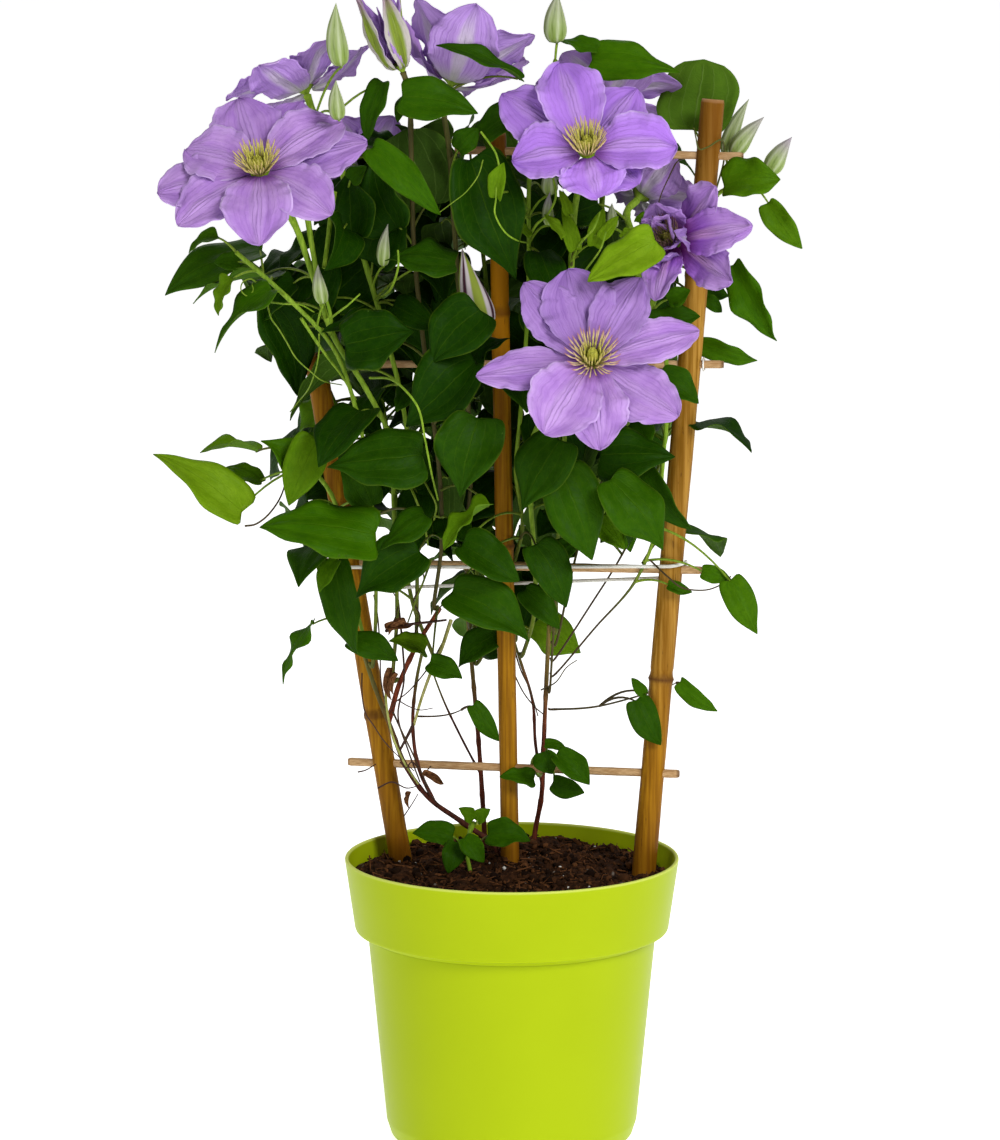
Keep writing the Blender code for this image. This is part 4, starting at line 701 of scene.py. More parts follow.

# Leafy shoots: parent, bloom, leaves borne by rule, places from the foot up. Each leaf: base across and down,
# tip across and down, width, depth of the base, how much further back the tip is, roll about the midrib, and
# tone, from 0 for the darkest green to 1 for the yellow-green of new growth; the tones also hold painted
# light and shade, darker for leaves that lie in shade and brighter for backlit ones. Each bud: base, tip,
# width, depth, and 1 where it opens. brown and old colour a shoot, foot makes its lower part thinner, and
# thin all of it
shoots = {
    "shoot_1": dict(parent="woody_left", fill=1,
        way=[(362, 640, 30), (352, 600, 26), (345, 560, 18), (330, 490, 6), (304, 452, -4), (280, 440, -8)],
        leaves=[(242, 512, 155, 452, 30, -16, -4, 10, .82), (258, 452, 200, 450, 24, -2, 6, 45, .64),
                (300, 472, 262, 440, 24, -20, -6, 15, .52), (318, 440, 288, 505, 27, -30, -8, 0, .66),
                (335, 560, 355, 655, 25, -8, -10, 30, .28), (314, 622, 280, 683, 20, -4, 0, 55, .45),
                (375, 535, 260, 524, 42, -54, -6, 8, .45), (262, 482, 226, 466, 16, 14, 4, 20, .6)]),
    "shoot_2": dict(parent="woody_left", fill=1,
        way=[(367, 664, 28), (376, 600, 12), (373, 520, 2), (365, 450, -4), (350, 390, -8), (325, 335, -12),
             (272, 284, -16), (236, 252, -18)],
        leaves=[(232, 278, 217, 315, 15, -24, -4, 40, .68), (264, 276, 192, 300, 20, -6, 4, 62, .5),
                (272, 290, 212, 350, 28, -28, -6, 45, .4), (262, 250, 163, 292, 34, 6, 6, 12, .34),
                (425, 515, 380, 548, 22, -46, -6, 20, .3)],
        buds=[(323, 300, 318, 265, 9, -22)]),
    "shoot_3": dict(parent="woody_left", bloom="bloom_1", fill=1,
        way=[(401, 680, 22), (397, 610, 16), (394, 520, 8), (388, 422, -2), (352, 372, -4), (327, 320, -2),
             (308, 260, -4), (290, 215, -10)],
        leaves=[(268, 305, 299, 396, 32, 22, 8, -10, .08), (345, 345, 413, 330, 42, -38, -4, 0, .15),
                (422, 455, 327, 465, 42, -60, -4, 0, .24), (300, 310, 336, 250, 34, 30, 6, 0, .12),
                (350, 640, 398, 660, 18, 8, -6, 10, .3)]),
    "shoot_4": dict(parent="woody_left", bloom="bloom_5", fill=1,
        way=[(425, 642, 37), (418, 600, 32), (414, 500, 22), (402, 400, 18), (376, 300, 14), (347, 200, 14),
             (333, 130, 12), (320, 105, 10)],
        leaves=[(372, 148, 440, 215, 20, -34, -8, 30, .42), (330, 300, 385, 248, 34, 34, 6, 0, .15),
                (455, 262, 385, 258, 30, -30, 0, 20, .26), (383, 82, 366, 140, 17, -10, -4, 20, .3),
                (425, 650, 390, 640, 18, 20, -10, 15, .7)],
        buds=[(384, 262, 388, 224, 8, -6), (339, 116, 336, 80, 10, -42), (341, 60, 336, 3, 13, -34)]),
    "shoot_5": dict(parent="woody_left", bloom="bloom_8", fill=1, brown=0.55, old=1.0,
        way=[(440, 608, 28), (441, 560, 22), (440, 480, 12), (428, 380, 6), (414, 250, 2), (411, 130, 0),
             (405, 90, -4)],
        leaves=[(430, 205, 405, 130, 50, 6, 8, 172, .1), (402, 96, 478, 112, 27, -22, -4, 10, .35),
                (478, 418, 460, 497, 40, -62, -10, 0, .25), (490, 505, 442, 548, 24, -56, -6, 40, .65),
                (420, 552, 355, 597, 34, -50, -6, 0, .2), (430, 662, 462, 678, 15, -4, -6, 10, .35)]),
    "shoot_6": dict(parent="woody_back", bloom="bloom_6", fill=1, brown=0.5, old=0.9,
        way=[(468, 622, 62), (466, 540, 44), (472, 470, 20), (466, 380, 4), (456, 250, -2), (450, 160, 4),
             (450, 105, 8)],
        leaves=[(480, 310, 432, 362, 38, -44, -6, 0, .1), (475, 362, 405, 425, 42, -50, -6, 0, .08),
                (470, 160, 517, 278, 46, -22, -8, 0, .14), (520, 80, 438, 42, 16, 2, -6, 25, .3),
                (482, 134, 530, 95, 20, -12, 0, 10, .3)],
        buds=[(486, 318, 462, 248, 17, -28, 1.0)]),
    "shoot_7": dict(parent="woody_right", fill=1,
        way=[(511, 636, 49), (507, 596, 34), (509, 550, 32), (513, 480, 22), (520, 420, 14), (528, 300, 10),
             (530, 165, 12), (542, 100, 14), (556, 60, 12)],
        leaves=[(462, 545, 520, 580, 28, -44, -6, 0, .25), (452, 592, 530, 640, 32, -38, -8, 0, .3),
                (497, 635, 458, 666, 22, -8, -4, 10, .25), (535, 545, 567, 607, 26, -34, -6, 0, .25),
                (499, 200, 485, 138, 10, -34, -6, 30, .62)],
        buds=[(557, 38, 558, -8, 14, 8), (551, 192, 550, 166, 10, -14), (549, 222, 550, 192, 7, -20)]),
    "shoot_8": dict(parent="woody_right", bloom="bloom_2", fill=1,
        way=[(549, 627, 34), (556, 560, 26), (562, 480, 10), (566, 400, 2), (572, 250, -4),
             (577, 195, -12)],
        leaves=[(575, 250, 562, 208, 10, -22, 0, 0, .75), (594, 246, 604, 208, 11, -20, 0, 0, .75),
                (560, 440, 521, 510, 34, -50, -6, 0, .25), (560, 470, 593, 560, 36, -46, -8, 0, .32),
                (525, 590, 560, 628, 18, 0, -6, 0, .3)]),
    "shoot_9": dict(parent="woody_right", bloom="bloom_9", fill=1, foot=0.6,
        way=[(549, 642, 36), (580, 540, 34), (606, 470, 24), (634, 400, 14), (640, 300, 10),
             (632, 225, 12)],
        leaves=[(655, 240, 587, 280, 28, -52, -6, 0, .9), (600, 455, 675, 455, 36, -28, -4, 0, .2),
                (610, 480, 664, 549, 36, -52, -6, 0, .36), (600, 520, 625, 549, 16, -14, -4, 0, .6),
                (615, 500, 631, 552, 20, 8, -4, 0, .4)],
        buds=[(614, 226, 612, 203, 7, -4)]),
    "shoot_10": dict(parent="woody_right", bloom="bloom_3", fill=0,
        way=[(516, 654, 50), (536, 600, 14), (532, 520, -4), (530, 450, -18), (555, 400, -40),
             (580, 376, -58)],
        leaves=[(552, 560, 578, 540, 16, 0, 0, 10, .3)]),
    "shoot_11": dict(parent="woody_right", fill=1, foot=0.75,
        way=[(548, 658, 38), (600, 590, 46), (640, 520, 46), (668, 430, 40), (684, 330, 34), (694, 250, 32),
             (716, 190, 30), (738, 172, 24), (756, 176, 20)],
        leaves=[(724, 186, 780, 178, 32, 0, -4, 0, .58), (768, 203, 802, 249, 16, 14, 0, 30, .6),
                (733, 265, 775, 342, 22, 14, -6, 48, .48), (700, 290, 729, 296, 12, 28, 0, 10, .3),
                (700, 345, 757, 362, 15, 24, 0, 60, .5), (693, 130, 705, 60, 52, 30, 8, 165, .60)],
        buds=[(728, 150, 749, 99, 10, 33), (736, 152, 764, 117, 11, 21), (772, 170, 792, 137, 12, 18)]),
    "shoot_12": dict(parent="woody_right", fill=1, foot=0.75,
        way=[(548, 672, 39), (610, 610, 20), (650, 560, 2), (662, 470, -8), (668, 390, -10),
             (664, 330, -6)],
        leaves=[(640, 470, 690, 530, 20, -16, -8, 45, .25), (660, 375, 699, 403, 20, -28, -2, 10, .3),
                (650, 325, 700, 315, 20, -20, 4, 0, .3), (702, 572, 731, 579, 11, -12, 0, 20, .5),
                (730, 580, 757, 634, 19, -16, -6, 20, .54)]),
    "shoot_13": dict(parent="woody_right", bloom="bloom_4", fill=1, foot=0.6,
        way=[(547, 686, 40), (562, 560, 12), (604, 470, 4), (632, 380, -2), (652, 310, -2), (664, 272, -8)],
        leaves=[(628, 330, 655, 356, 18, -20, -4, 0, .3)]),
    "shoot_14": dict(parent="woody_right", fill=0, brown=0.9, thin=0.62,
        way=[(546, 708, 42), (600, 706, 30), (634, 700, 14), (652, 690, 4), (676, 683, 2)],
        leaves=[(636, 700, 661, 745, 19, -4, -4, 10, .3), (645, 694, 632, 678, 8, -2, 0, 0, .4),
                (680, 682, 717, 712, 12, 0, -2, 45, .5)]),
    "shoot_15": dict(parent="woody_left", fill=0, brown=0.95, thin=0.55,
        way=[(405, 716, 42), (430, 717, 24), (455, 713, 12), (466, 708, 8)],
        leaves=[(473, 705, 499, 741, 13, 2, -2, 10, .35)]),
    "shoot_16": dict(parent="woody_right", fill=0,
        way=[(542, 772, 49), (532, 764, 30), (541, 755, 14), (552, 762, 10)],
        leaves=[(534, 779, 500, 776, 14, 18, -6, 10, .4), (543, 752, 552, 774, 16, 4, -2, 20, .3),
                (556, 755, 590, 784, 18, 2, -4, 0, .35), (553, 782, 584, 793, 14, 12, -4, 30, .3),
                (545, 744, 566, 748, 8, 14, 0, 0, .4)]),
    "shoot_17": dict(parent="woody_back", bloom="bloom_10", fill=4,
        way=[(430, 665, 72), (412, 600, 76), (396, 500, 84), (382, 400, 82), (370, 300, 68),
             (366, 232, 52)],
        leaves=[(335, 400, 298, 432, 24, 70, 6, 20, .6), (372, 480, 300, 500, 32, 66, 6, 0, .2)]),
    "shoot_18": dict(parent="woody_back", fill=5,
        way=[(469, 634, 62), (480, 520, 80), (490, 400, 86), (486, 280, 82), (472, 180, 66)],
        leaves=[]),
    "shoot_19": dict(parent="woody_back", bloom="bloom_7", fill=5,
        way=[(472, 662, 63), (520, 580, 84), (572, 470, 92), (596, 360, 94), (600, 240, 92),
             (606, 130, 62)],
        leaves=[(525, 620, 582, 652, 30, 58, 8, 0, .7), (592, 60, 680, 70, 27, 30, 4, 0, .5),
                (598, 48, 560, 40, 12, 40, 4, 10, .4)]),
    "basal_sprig": dict(parent=None, fill=0,
        way=[(470, 868, 4), (467, 852, 4), (465, 836, 2), (474, 822, 4)],
        leaves=[(453, 836, 413, 832, 19, -4, -4, 10, .35), (456, 842, 448, 873, 15, -14, -8, 0, .3),
                (464, 838, 484, 862, 14, -12, -6, 0, .4), (488, 834, 530, 840, 19, 0, -4, 0, .35),
                (473, 820, 459, 808, 9, 6, 0, 0, .6), (477, 821, 490, 809, 9, 6, 0, 0, .6)]),
}

# Blooms: centre in the view, the way it faces, height of the sepals' tips, sepal width, and the tips in the
# view with each one's width, layer and shade, or a ring of (count, reach, first angle). deep, pale and hue
# shift the colour, dark is for dark anthers, dome and splay shape the stamens, point narrows the ends of the
# sepals, rough is for ruffles, and inner is the count, reach, rise and width of twisted inner petals. seat is
# a lower place for the middle, blush makes the stamens pinker, and raised bends them upwards
blooms = {
    "bloom_1": dict(centre=(260, 163, -45), face=(-0.1, -0.72, 0.68), rise=2, width=40, dome=1.1, splay=0.6,
        seat=(260, 172, -45), rough=0.65, blush=0.4, raised=0.32,
        tips=[(365, 140, 1, -0.7, 0.1), (330, 212, 0.95, 0.5, 0), (258, 242, 1, 1.2, 0),
              (178, 222, 1, 0.1, 0), (158, 190, 1, -0.9, 0), (186, 148, 1, 0.4, 0),
              (238, 97, 1.05, -0.3, 0.05), (300, 100, 1, -1, 0.15), (341, 120, 0.9, 0.9, 0)]),
    "bloom_2": dict(centre=(587, 140, -50), face=(-0.05, -0.8, 0.6), rise=2, width=38, dome=1.1, splay=0.52,
        seat=(587, 151, -50), rough=0.85, hue=0.65, blush=0.5, raised=0.45,
        tips=[(676, 145, 1.05, 0.8, 0), (638, 182, 1, -0.9, 0.3), (598, 196, 1, 0.2, 0),
              (513, 160, 1, 0.7, 0.2), (503, 92, 0.95, -1, 0.5), (560, 62, 1.05, 1, 0),
              (636, 88, 1, -0.4, 0.15)]),
    "bloom_3": dict(centre=(592, 360, -85), face=(0.02, -0.93, 0.35), rise=2, width=37, dome=1.25, splay=0.86,
        tips=[(698, 330, 0.66, 0.3, 0.1), (677, 415, 0.95, -1.6, 0.2), (600, 448, 1.05, -0.6, 0),
              (545, 432, 1.1, 1.2, 0), (478, 375, 0.68, -1, 0.25), (525, 283, 0.9, -0.4, 0.75),
              (568, 270, 1.12, 0.3, 0.9), (640, 278, 0.92, 1, 0.75)]),
    "bloom_4": dict(centre=(674, 240, -30), face=(-0.45, -0.8, 0.15), rise=20, width=28, deep=0.8, dark=0.8,
        splay=0.4, inner=(7, 15, 25, 12),
        tips=[(747, 225, 1, 0.8, 0), (728, 280, 0.9, -0.6, 0), (654, 298, 0.9, 0.9, 0),
              (640, 250, 1, -1, 0.2), (655, 205, 0.9, 0.4, 0.3), (712, 188, 1, -0.8, 0.2)]),
    "bloom_5": dict(centre=(305, 90, 8), face=(-0.35, 0.3, 0.85), rise=14, width=34, ring=(6, 46, 15),
        dark=0.9),
    "bloom_6": dict(centre=(452, 82, 10), face=(0.28, 0.38, 0.88), rise=38, width=40, ring=(6, 42, 10)),
    "bloom_7": dict(centre=(606, 92, 40), face=(0.1, 0.55, 0.8), rise=11, width=35, ring=(6, 44, 0),
        rough=0.2, seat=(606, 98, 40)),
    "bloom_8": dict(centre=(401, 66, -20), face=(-0.3, -0.1, 0.95), rise=50, width=13, ring=(5, 14, 0),
        pale=1.0, point=1.05, inner=(5, 9, 42, 9)),
    "bloom_9": dict(centre=(640, 196, 46), face=(0.45, 0.6, 0.55), rise=16, width=30, ring=(6, 34, 20)),
    "bloom_10": dict(centre=(364, 172, 70), face=(-0.15, 0.88, 0.4), rise=8, width=32, ring=(7, 40, 13)),
}
receptacle = dict(top=1.2, foot=-3.6, stalk=1.5, flare=4.7, link=2.0, gap=0.3, neck=14)
shootRadius, stalkRadius, soilTop, rooted = 1.25, 0.75, 169.0, 18.0
branchShare, taper = 0.7, 0.3  # a branch's radius by its stem's, and how much thinner a woody line ends


def bloomFrame(bloom):
    face = unit(np.array(bloom["face"]))
    across = unit(np.cross(up, face))
    return viewPlace(*bloom["centre"]), face, across, np.cross(face, across)


def footed(way):
    return [np.array([way[0][0], way[0][1], soilTop - rooted]), *way]


def woodyLines(name, others):
    radius, way = woody[name]["radius"], footed([viewPlace(*place) for place in woody[name]["way"]])
    lines = [bentClear(evenly(way, int(runOf(np.array(way))[-1] / 30) + 2), radius, others, heldStart=2)]
    for branch in woody[name]["branches"]:
        way = np.array([viewPlace(*place) for place in branch])
        way[0] = nearestOn(lines[0], way[0])
        even = evenly(way, int(runOf(way)[-1] / 30) + 2)
        lines.append(bentClear(even, branchShare * radius, others, heldStart=2))
    return lines


def leaveParent(name, first, second, lines):
    line = min(lines, key=lambda one: np.linalg.norm(nearestOn(one, first) - first))
    near = nearestOn(line, first)
    reach = np.linalg.norm(line - near, axis=1).argsort()[:2]
    along = unit(line[reach[0]] - line[reach[1]])
    radius = woody[name]["radius"] * (1 if line is lines[0] else branchShare)
    radius = radius * (1 - taper * reach.mean() / (len(line) - 1))
    out = second - near
    out = unit(out - along * (out @ along))
    start = near + out * (radius + 0.4)
    return [start, start + out * 4]


def shootLine(shoot, lines, others):
    way = [viewPlace(*place) for place in shoot["way"]]
    heldEnd = 1
    if "bloom" in shoot:
        centre, face = bloomFrame(blooms[shoot["bloom"]])[:2]
        end = receptacle["foot"] - receptacle["gap"]
        way.append(centre + face * (end - receptacle["neck"]))
        heldEnd = 2
    if shoot["parent"]:
        start = leaveParent(shoot["parent"], way[0], way[1], lines[shoot["parent"]])
        way = start[1:] + way[1:]
    else:
        way = footed(way)
    points = [evenly(way, max(4, int(runOf(np.array(way))[-1] / 33)))]
    if shoot["parent"]:
        points.insert(0, start[:1])
    if "bloom" in shoot:
        points.append([centre + face * end])
    return bentClear(np.vstack(points), shootRadius, others, 2, heldEnd)


def allLines():
    others = []
    for name, cane in canes.items():
        others += stretchesOf(caneEnds(name), cane["radii"][0] + jointSwell)
    for ends in rungs.values():
        others += stretchesOf(np.array(ends, float), rungRadius)
    band = tieLine()
    others += stretchesOf(np.vstack([band, band[:1]]), tie["radius"])
    woodyOnes, shootOnes = {}, {}
    for name in woody:
        woodyOnes[name] = woodyLines(name, others)
        for line in woodyOnes[name]:
            others += stretchesOf(line, woody[name]["radius"])
    for name, shoot in shoots.items():
        shootOnes[name] = shootLine(shoot, woodyOnes, others)
        others += stretchesOf(shootOnes[name], shootRadius)
    return woodyOnes, shootOnes


woodyWays, shootWays = allLines()
print("stem lines laid")


# What the solids fill


class Room:  # the pieces that stand so far, each with its box and a tree of its faces, in millimetres
    def __init__(self):
        self.boxes, self.trees = [], {}

    def add(self, name, places, faces):
        tree = BVHTree.FromPolygons(places.tolist(), faces.tolist())
        self.boxes.append((places.min(0), places.max(0), tree))
        self.trees.setdefault(name, tree)

    def near(self, places, margin):
        low, high = places.min(0) - margin, places.max(0) + margin
        return [tree for least, most, tree in self.boxes if (least < high).all() and (most > low).all()]

    def meets(self, places, faces):
        trees = self.near(places, 0)
        own = BVHTree.FromPolygons(places.tolist(), faces.tolist())
        return any(own.overlap(tree) for tree in trees)

    def crowds(self, places, margin):
        return any(tree.find_nearest(place, margin)[0] is not None
                   for tree in self.near(places, margin) for place in places.tolist())


room = Room()
for name, node in frame["nodes"].items():
    places = np.empty(len(node.data.vertices) * 3, np.float32)
    node.data.vertices.foreach_get("co", places)
    corners = np.empty(len(node.data.loops), np.int32)
    node.data.loops.foreach_get("vertex_index", corners)
    room.add(name, places.reshape(-1, 3) / mm, corners.reshape(-1, 3))


# Leaves

# Fullness and the powers at base and tip: plain for the solid's leaf, fine for a veined one, and blunt for a
# veined one from a width of bluntFrom up
leafShape = dict(plain=(1.43, 0.55, 1.1), fine=(1.12, 0.42, 0.8), blunt=(0.92, 0.42, 0.44), bluntFrom=50,
                 drawn=0.4, arch=0.28, wave=0.16, heart=0.1, swell=0.016, thickness=0.45, rows=21, columns=13)
leafRule = dict(length=47, spread=9, width=0.66, reach=24, rise=10, droop=24)
numbersApart = 40
towardView = np.array([0.0, -0.8, 0.6])
turns = (0, 14, -14, 30, -30, 50, -50)
pushes = (0, -6, 6, -12, 12, -20, 20, -30, 30, -42, 42)
leans = (0, -10, 10, 22)
drops = (14, 28, 2, 45, 65, -12)
tries = sorted(((push, lean, turn) for push in pushes for lean in leans for turn in turns),
               key=lambda one: abs(one[0]) / 6 + abs(one[1]) / 9 + abs(one[2]) / 13)


def leafForm(number):
    return 0.14 + 0.18 * math.sin(7.1 * number), 0.55 * math.sin(3.3 * number + 1), 2.4 * number


def leafSurface(u, v, leaf, fine=False):
    # u runs from base to tip, v from edge to edge. Half the width is fullness * width * u^base * (1-u)^tip,
    # less at the drawn-out tip of a fine leaf that isn't broad. The blade is arched along its length, folded
    # about the midrib, waved at the edges and twisted. A fine one has a heart-shaped base, swells between its
    # veins, sways to a side, and its edges curl
    base, tip, width, roll, hint, fold, twist, phase = leaf
    length = np.linalg.norm(tip - base)
    along = (tip - base) / length
    normal = unit(hint - along * (hint @ along))
    side = np.cross(along, normal)
    angle = roll + twist * (u - 0.5)
    turnedSide = side * np.cos(angle)[..., None] - normal * np.sin(angle)[..., None]
    turnedNormal = normal * np.cos(angle)[..., None] + side * np.sin(angle)[..., None]
    middle = normal * math.cos(roll) + side * math.sin(roll)
    shape = leafShape
    broad = fine and width >= shape["bluntFrom"]
    fullness, basePower, tipPower = shape["blunt" if broad else "fine" if fine else "plain"]
    half = fullness * width * u**basePower * (1 - u) ** tipPower
    if fine:
        drawn = 0 if broad else (shape["drawn"] + 0.18 * math.sin(1.7 * phase)) * min(1, (width / 30) ** 2)
        half = half * (1 - drawn * smoothStep(0.52, 1.0, u))
        fold = 1.35 * fold
    arch = shape["arch"] * length * u * (1 - u)
    lift = half * (fold * np.abs(v) + shape["wave"] * v * np.sin(7.5 * u + phase))
    run, sway = length * u, 0
    if fine:
        half = np.maximum(half * (1 + 0.06 * np.sin(5 * u + 1.9 * phase + 1.4 * np.sign(v))), 0.32)
        run = run - shape["heart"] * length * v**2 * (u / 0.08) * np.exp(1 - u / 0.08)
        lift = lift + shape["swell"] * width * np.cos(v * math.pi * 2.8) * np.sin(math.pi * u) ** 0.5
        curl = 1 + 1.1 * float(smoothStep(0.5, 0.8, abs(math.sin(roll))))
        curl = curl * (0.10 + 0.07 * math.sin(2.3 * phase))
        lift = lift + half * curl * np.abs(v) ** 3 * np.sin(15 * u + 1.7 * phase + 0.8 * np.sign(v))
        arch = arch - 0.05 * length * u**5
        sway = 0.045 * length * np.sin(math.pi * u) * math.sin(1.3 * phase)
    return (base + along * run[..., None] + middle * arch[..., None]
            + turnedSide * (v * half + sway)[..., None] + turnedNormal * lift[..., None])


def coarseRows(width):
    return np.array([0, 0.2, 0.48, 0.78, 1]) if width >= 34 else np.array([0, 0.3, 0.7, 1])


def seenLeaves(row, number):
    across, down, tipAcross, tipDown, width, depth, lean, roll = row
    for push, more, turn in tries:
        base = viewPlace(across, down, depth + push)
        tip = viewPlace(tipAcross, tipDown, depth + push + lean + more)
        yield base, tip, width, math.radians(roll + turn), towardView, *leafForm(number)


def ruleLeaves(points, share, number):
    place = evenly(points, 41)[round(40 * share)]
    outward = math.atan2(place[1] - 22, place[0]) + 1.1 * math.sin(2.6 * number)
    size = leafRule["length"] + leafRule["spread"] * math.sin(4.1 * number)
    for push, more, turn in tries:
        angle = outward + math.radians(turn + 1.5 * push)
        away = np.array([math.cos(angle), math.sin(angle), 0])
        droop = math.radians(leafRule["droop"] + 14 * math.sin(1.7 * number) + 2.2 * more)
        reach = leafRule["reach"] + 5 * math.sin(5.3 * number) + 0.4 * push
        base = place + away * reach + up * (leafRule["rise"] + 0.3 * push)
        tip, roll = base + size * (away * math.cos(droop) - up * math.sin(droop)), 0.25 * math.sin(number)
        yield base, tip, leafRule["width"] * size, roll, away * 0.45 + up * 0.8, *leafForm(number)


def stalkLine(base, foot, count=9):  # bowed up by a tenth of its length
    share = np.linspace(0, 1, count)[:, None]
    return foot + (base - foot) * share + up * 0.4 * np.linalg.norm(foot - base) * share * (1 - share)


def missOf(tree, place, limit=1.4):
    near = tree.find_nearest(place.tolist(), limit)
    return limit if near[0] is None else near[3]


def fittedLeaf(candidates, tree):  # the one of a leaf's places that its solid has
    best, least = None, 1.2
    for leaf in candidates:
        if missOf(tree, leaf[1]) > 1.0 or missOf(tree, leaf[0]) > 1.2:
            continue
        rows = coarseRows(leaf[2])[1:-1]
        u, v = (grid.ravel() for grid in np.meshgrid(rows, [-1.0, 1.0], indexing="ij"))
        miss = max(missOf(tree, place) for place in leafSurface(u, v, leaf))
        if miss < least:
            best, least = leaf, miss
    return best, least


def fittedFoot(leaf, points, tree):  # where its stalk leaves the shoot
    def miss(drop):
        foot = nearestOn(points, leaf[0] - up * drop)
        long = np.linalg.norm(foot - leaf[0]) > 34
        places = stalkLine(leaf[0], foot)[4:5] if long else (leaf[0] + foot)[None] / 2
        return missOf(tree, places[0], 3.0)
    return nearestOn(points, leaf[0] - up * min(drops, key=miss))


def addLeaf(heap, leaf, tone, seed, foot=None, brown=0.0, dry=0.0):
    rows, columns = leafShape["rows"], leafShape["columns"]
    u = np.linspace(0, 1, rows) ** 1.15
    u, v = np.meshgrid(u, np.linspace(-1, 1, columns), indexing="ij")
    grid = leafSurface(u, v, leaf, fine=True)
    thickness = leafShape["thickness"] * (1 - 0.45 * np.abs(v) ** 2) * (1 + 0.5 * bell(v, 0, 0.14))
    places, quads, uv, under = sheet(grid, thickness, leaf[4] * math.copysign(1, math.cos(leaf[3])), u, v)
    heap.add(places, quads, uv=uv, tone=tone, under=under, seed=seed, dry=dry)
    if foot is not None:
        line = stalkLine(leaf[0] + unit(leaf[1] - leaf[0]) * 1.5, foot)
        radii = stalkRadius * np.linspace(1.2, 0.8, len(line))
        heap.add(*pipe(line, radii, 6), finish=1, age=0.5 - 0.5 * tone, brown=brown, seed=seed)


budShape = dict(rows=25, sides=32, full=2.45, neck=0.12, hangs=16, bend=0.05)


def addBud(heap, row, points, seed):  # ribbed along its six sepals, or the three that show where it opens
    across, down, tipAcross, tipDown, width, depth, *rest = row
    base, tip = viewPlace(across, down, depth), viewPlace(tipAcross, tipDown, depth)
    foot = nearestOn(points, base - up * budShape["hangs"])
    neck = base - (tip - base) * budShape["neck"]
    heap.add(*pipe(stalkLine(neck, foot), stalkRadius * np.linspace(1, 1.15, 9), 6), finish=1, age=0.1)
    share = np.linspace(0, 1, budShape["rows"])
    profile = budShape["full"] * share**0.42 * (1 - share) ** 1.1 + 0.02
    angle = fullTurn(budShape["sides"])
    sepal = (angle * (3 if rest else 6) / (2 * math.pi) + 0.5 * share[:, None] + 0.35) % 1.0
    rib = 1 - np.abs(2 * sepal - 1)
    ridge = 0.90 + 0.12 * np.sqrt(rib) + 0.03 * bell(sepal, 0.5, 0.1)
    radii = 0.5 * width * profile[:, None] * ridge
    line = neck + (tip - neck) * share[:, None]
    bend = np.cross(unit(tip - neck), [0.3, 1.0, 0.2]) * budShape["bend"] * np.linalg.norm(tip - neck)
    line = line + bend * np.sin(math.pi * share)[:, None]
    places, quads, fans = pipe(line, radii, budShape["sides"])
    heap.add(places, quads, fans, finish=2, rib=np.append(rib.ravel(), [0.5, 0.5]), seed=seed,
             along=byRing(share, budShape["sides"]), violet=0.5 + 0.5 * math.sin(3.1 * seed),
             opening=rest[0] if rest else 0.0)


def addStem(heap, points, radius, brown, end, foot, old, sides=8):  # thin at its foot, swollen at its nodes
    line = splined(points, 7)
    share = np.linspace(0, 1, len(line))
    low = foot * (1 - smoothStep(0.30, 0.60, share))
    radii = radius * (1 + (end - 1) * share**1.6) * (1 - 0.65 * low)
    brown = brown + 1.2 * byRing(low, sides, 1, 0)
    age = old + byRing(1 - smoothStep(0.05, 0.5, share), sides, 1, 0)
    swell = 1 + 0.16 * bell((share * (len(points) - 1) * 0.5) % 1.0, 0.5, 0.05)
    heap.add(*pipe(line, radii * swell, sides), finish=1, age=age, brown=brown)


leafHeaps, misfits, lost = {}, [], 0
for number, (name, shoot) in enumerate(shoots.items()):
    heap = leafHeaps[name] = Heap()
    tree, points = room.trees[name], shootWays[name]
    brown = shoot.get("brown", 0.0)
    end = (1.95 if "bloom" in shoot else 1.15) - min(brown, 0.6)
    addStem(heap, points, shootRadius * shoot.get("thin", 1.0), brown, end, shoot.get("foot", 0.0),
            shoot.get("old", 0.0))
    for k, row in enumerate(shoot.get("buds", [])):
        addBud(heap, row, points, number + 0.3 * k)
    first = numbersApart * number
    wanted = [(seenLeaves(row[:8], first + k), row[8]) for k, row in enumerate(shoot["leaves"])]
    for k in range(shoot["fill"]):
        found, share = first + numbersApart // 2 + k, (k + 0.7) / (shoot["fill"] + 0.5)
        wanted.append((ruleLeaves(points, share, found), 0.2 + 0.12 * math.sin(found)))
    for k, (candidates, tone) in enumerate(wanted):
        leaf, miss = fittedLeaf(candidates, tree)
        if leaf is None:
            lost += 1
            print("  no place found for leaf", k, "of", name)
            continue
        misfits.append(miss)
        brown = max(shoot.get("brown", 0.0), 0.75 * (math.sin(2.9 * number + 1.3 * k) > 0.55))
        addLeaf(heap, leaf, tone, 10 * number + k, fittedFoot(leaf, points, tree), brown)
print("leaves fitted:", len(misfits), "worst", round(max(misfits), 2), "mm;", lost, "without a place")


# More leaves: small ones in the view, and those that fill the mass behind the front ones

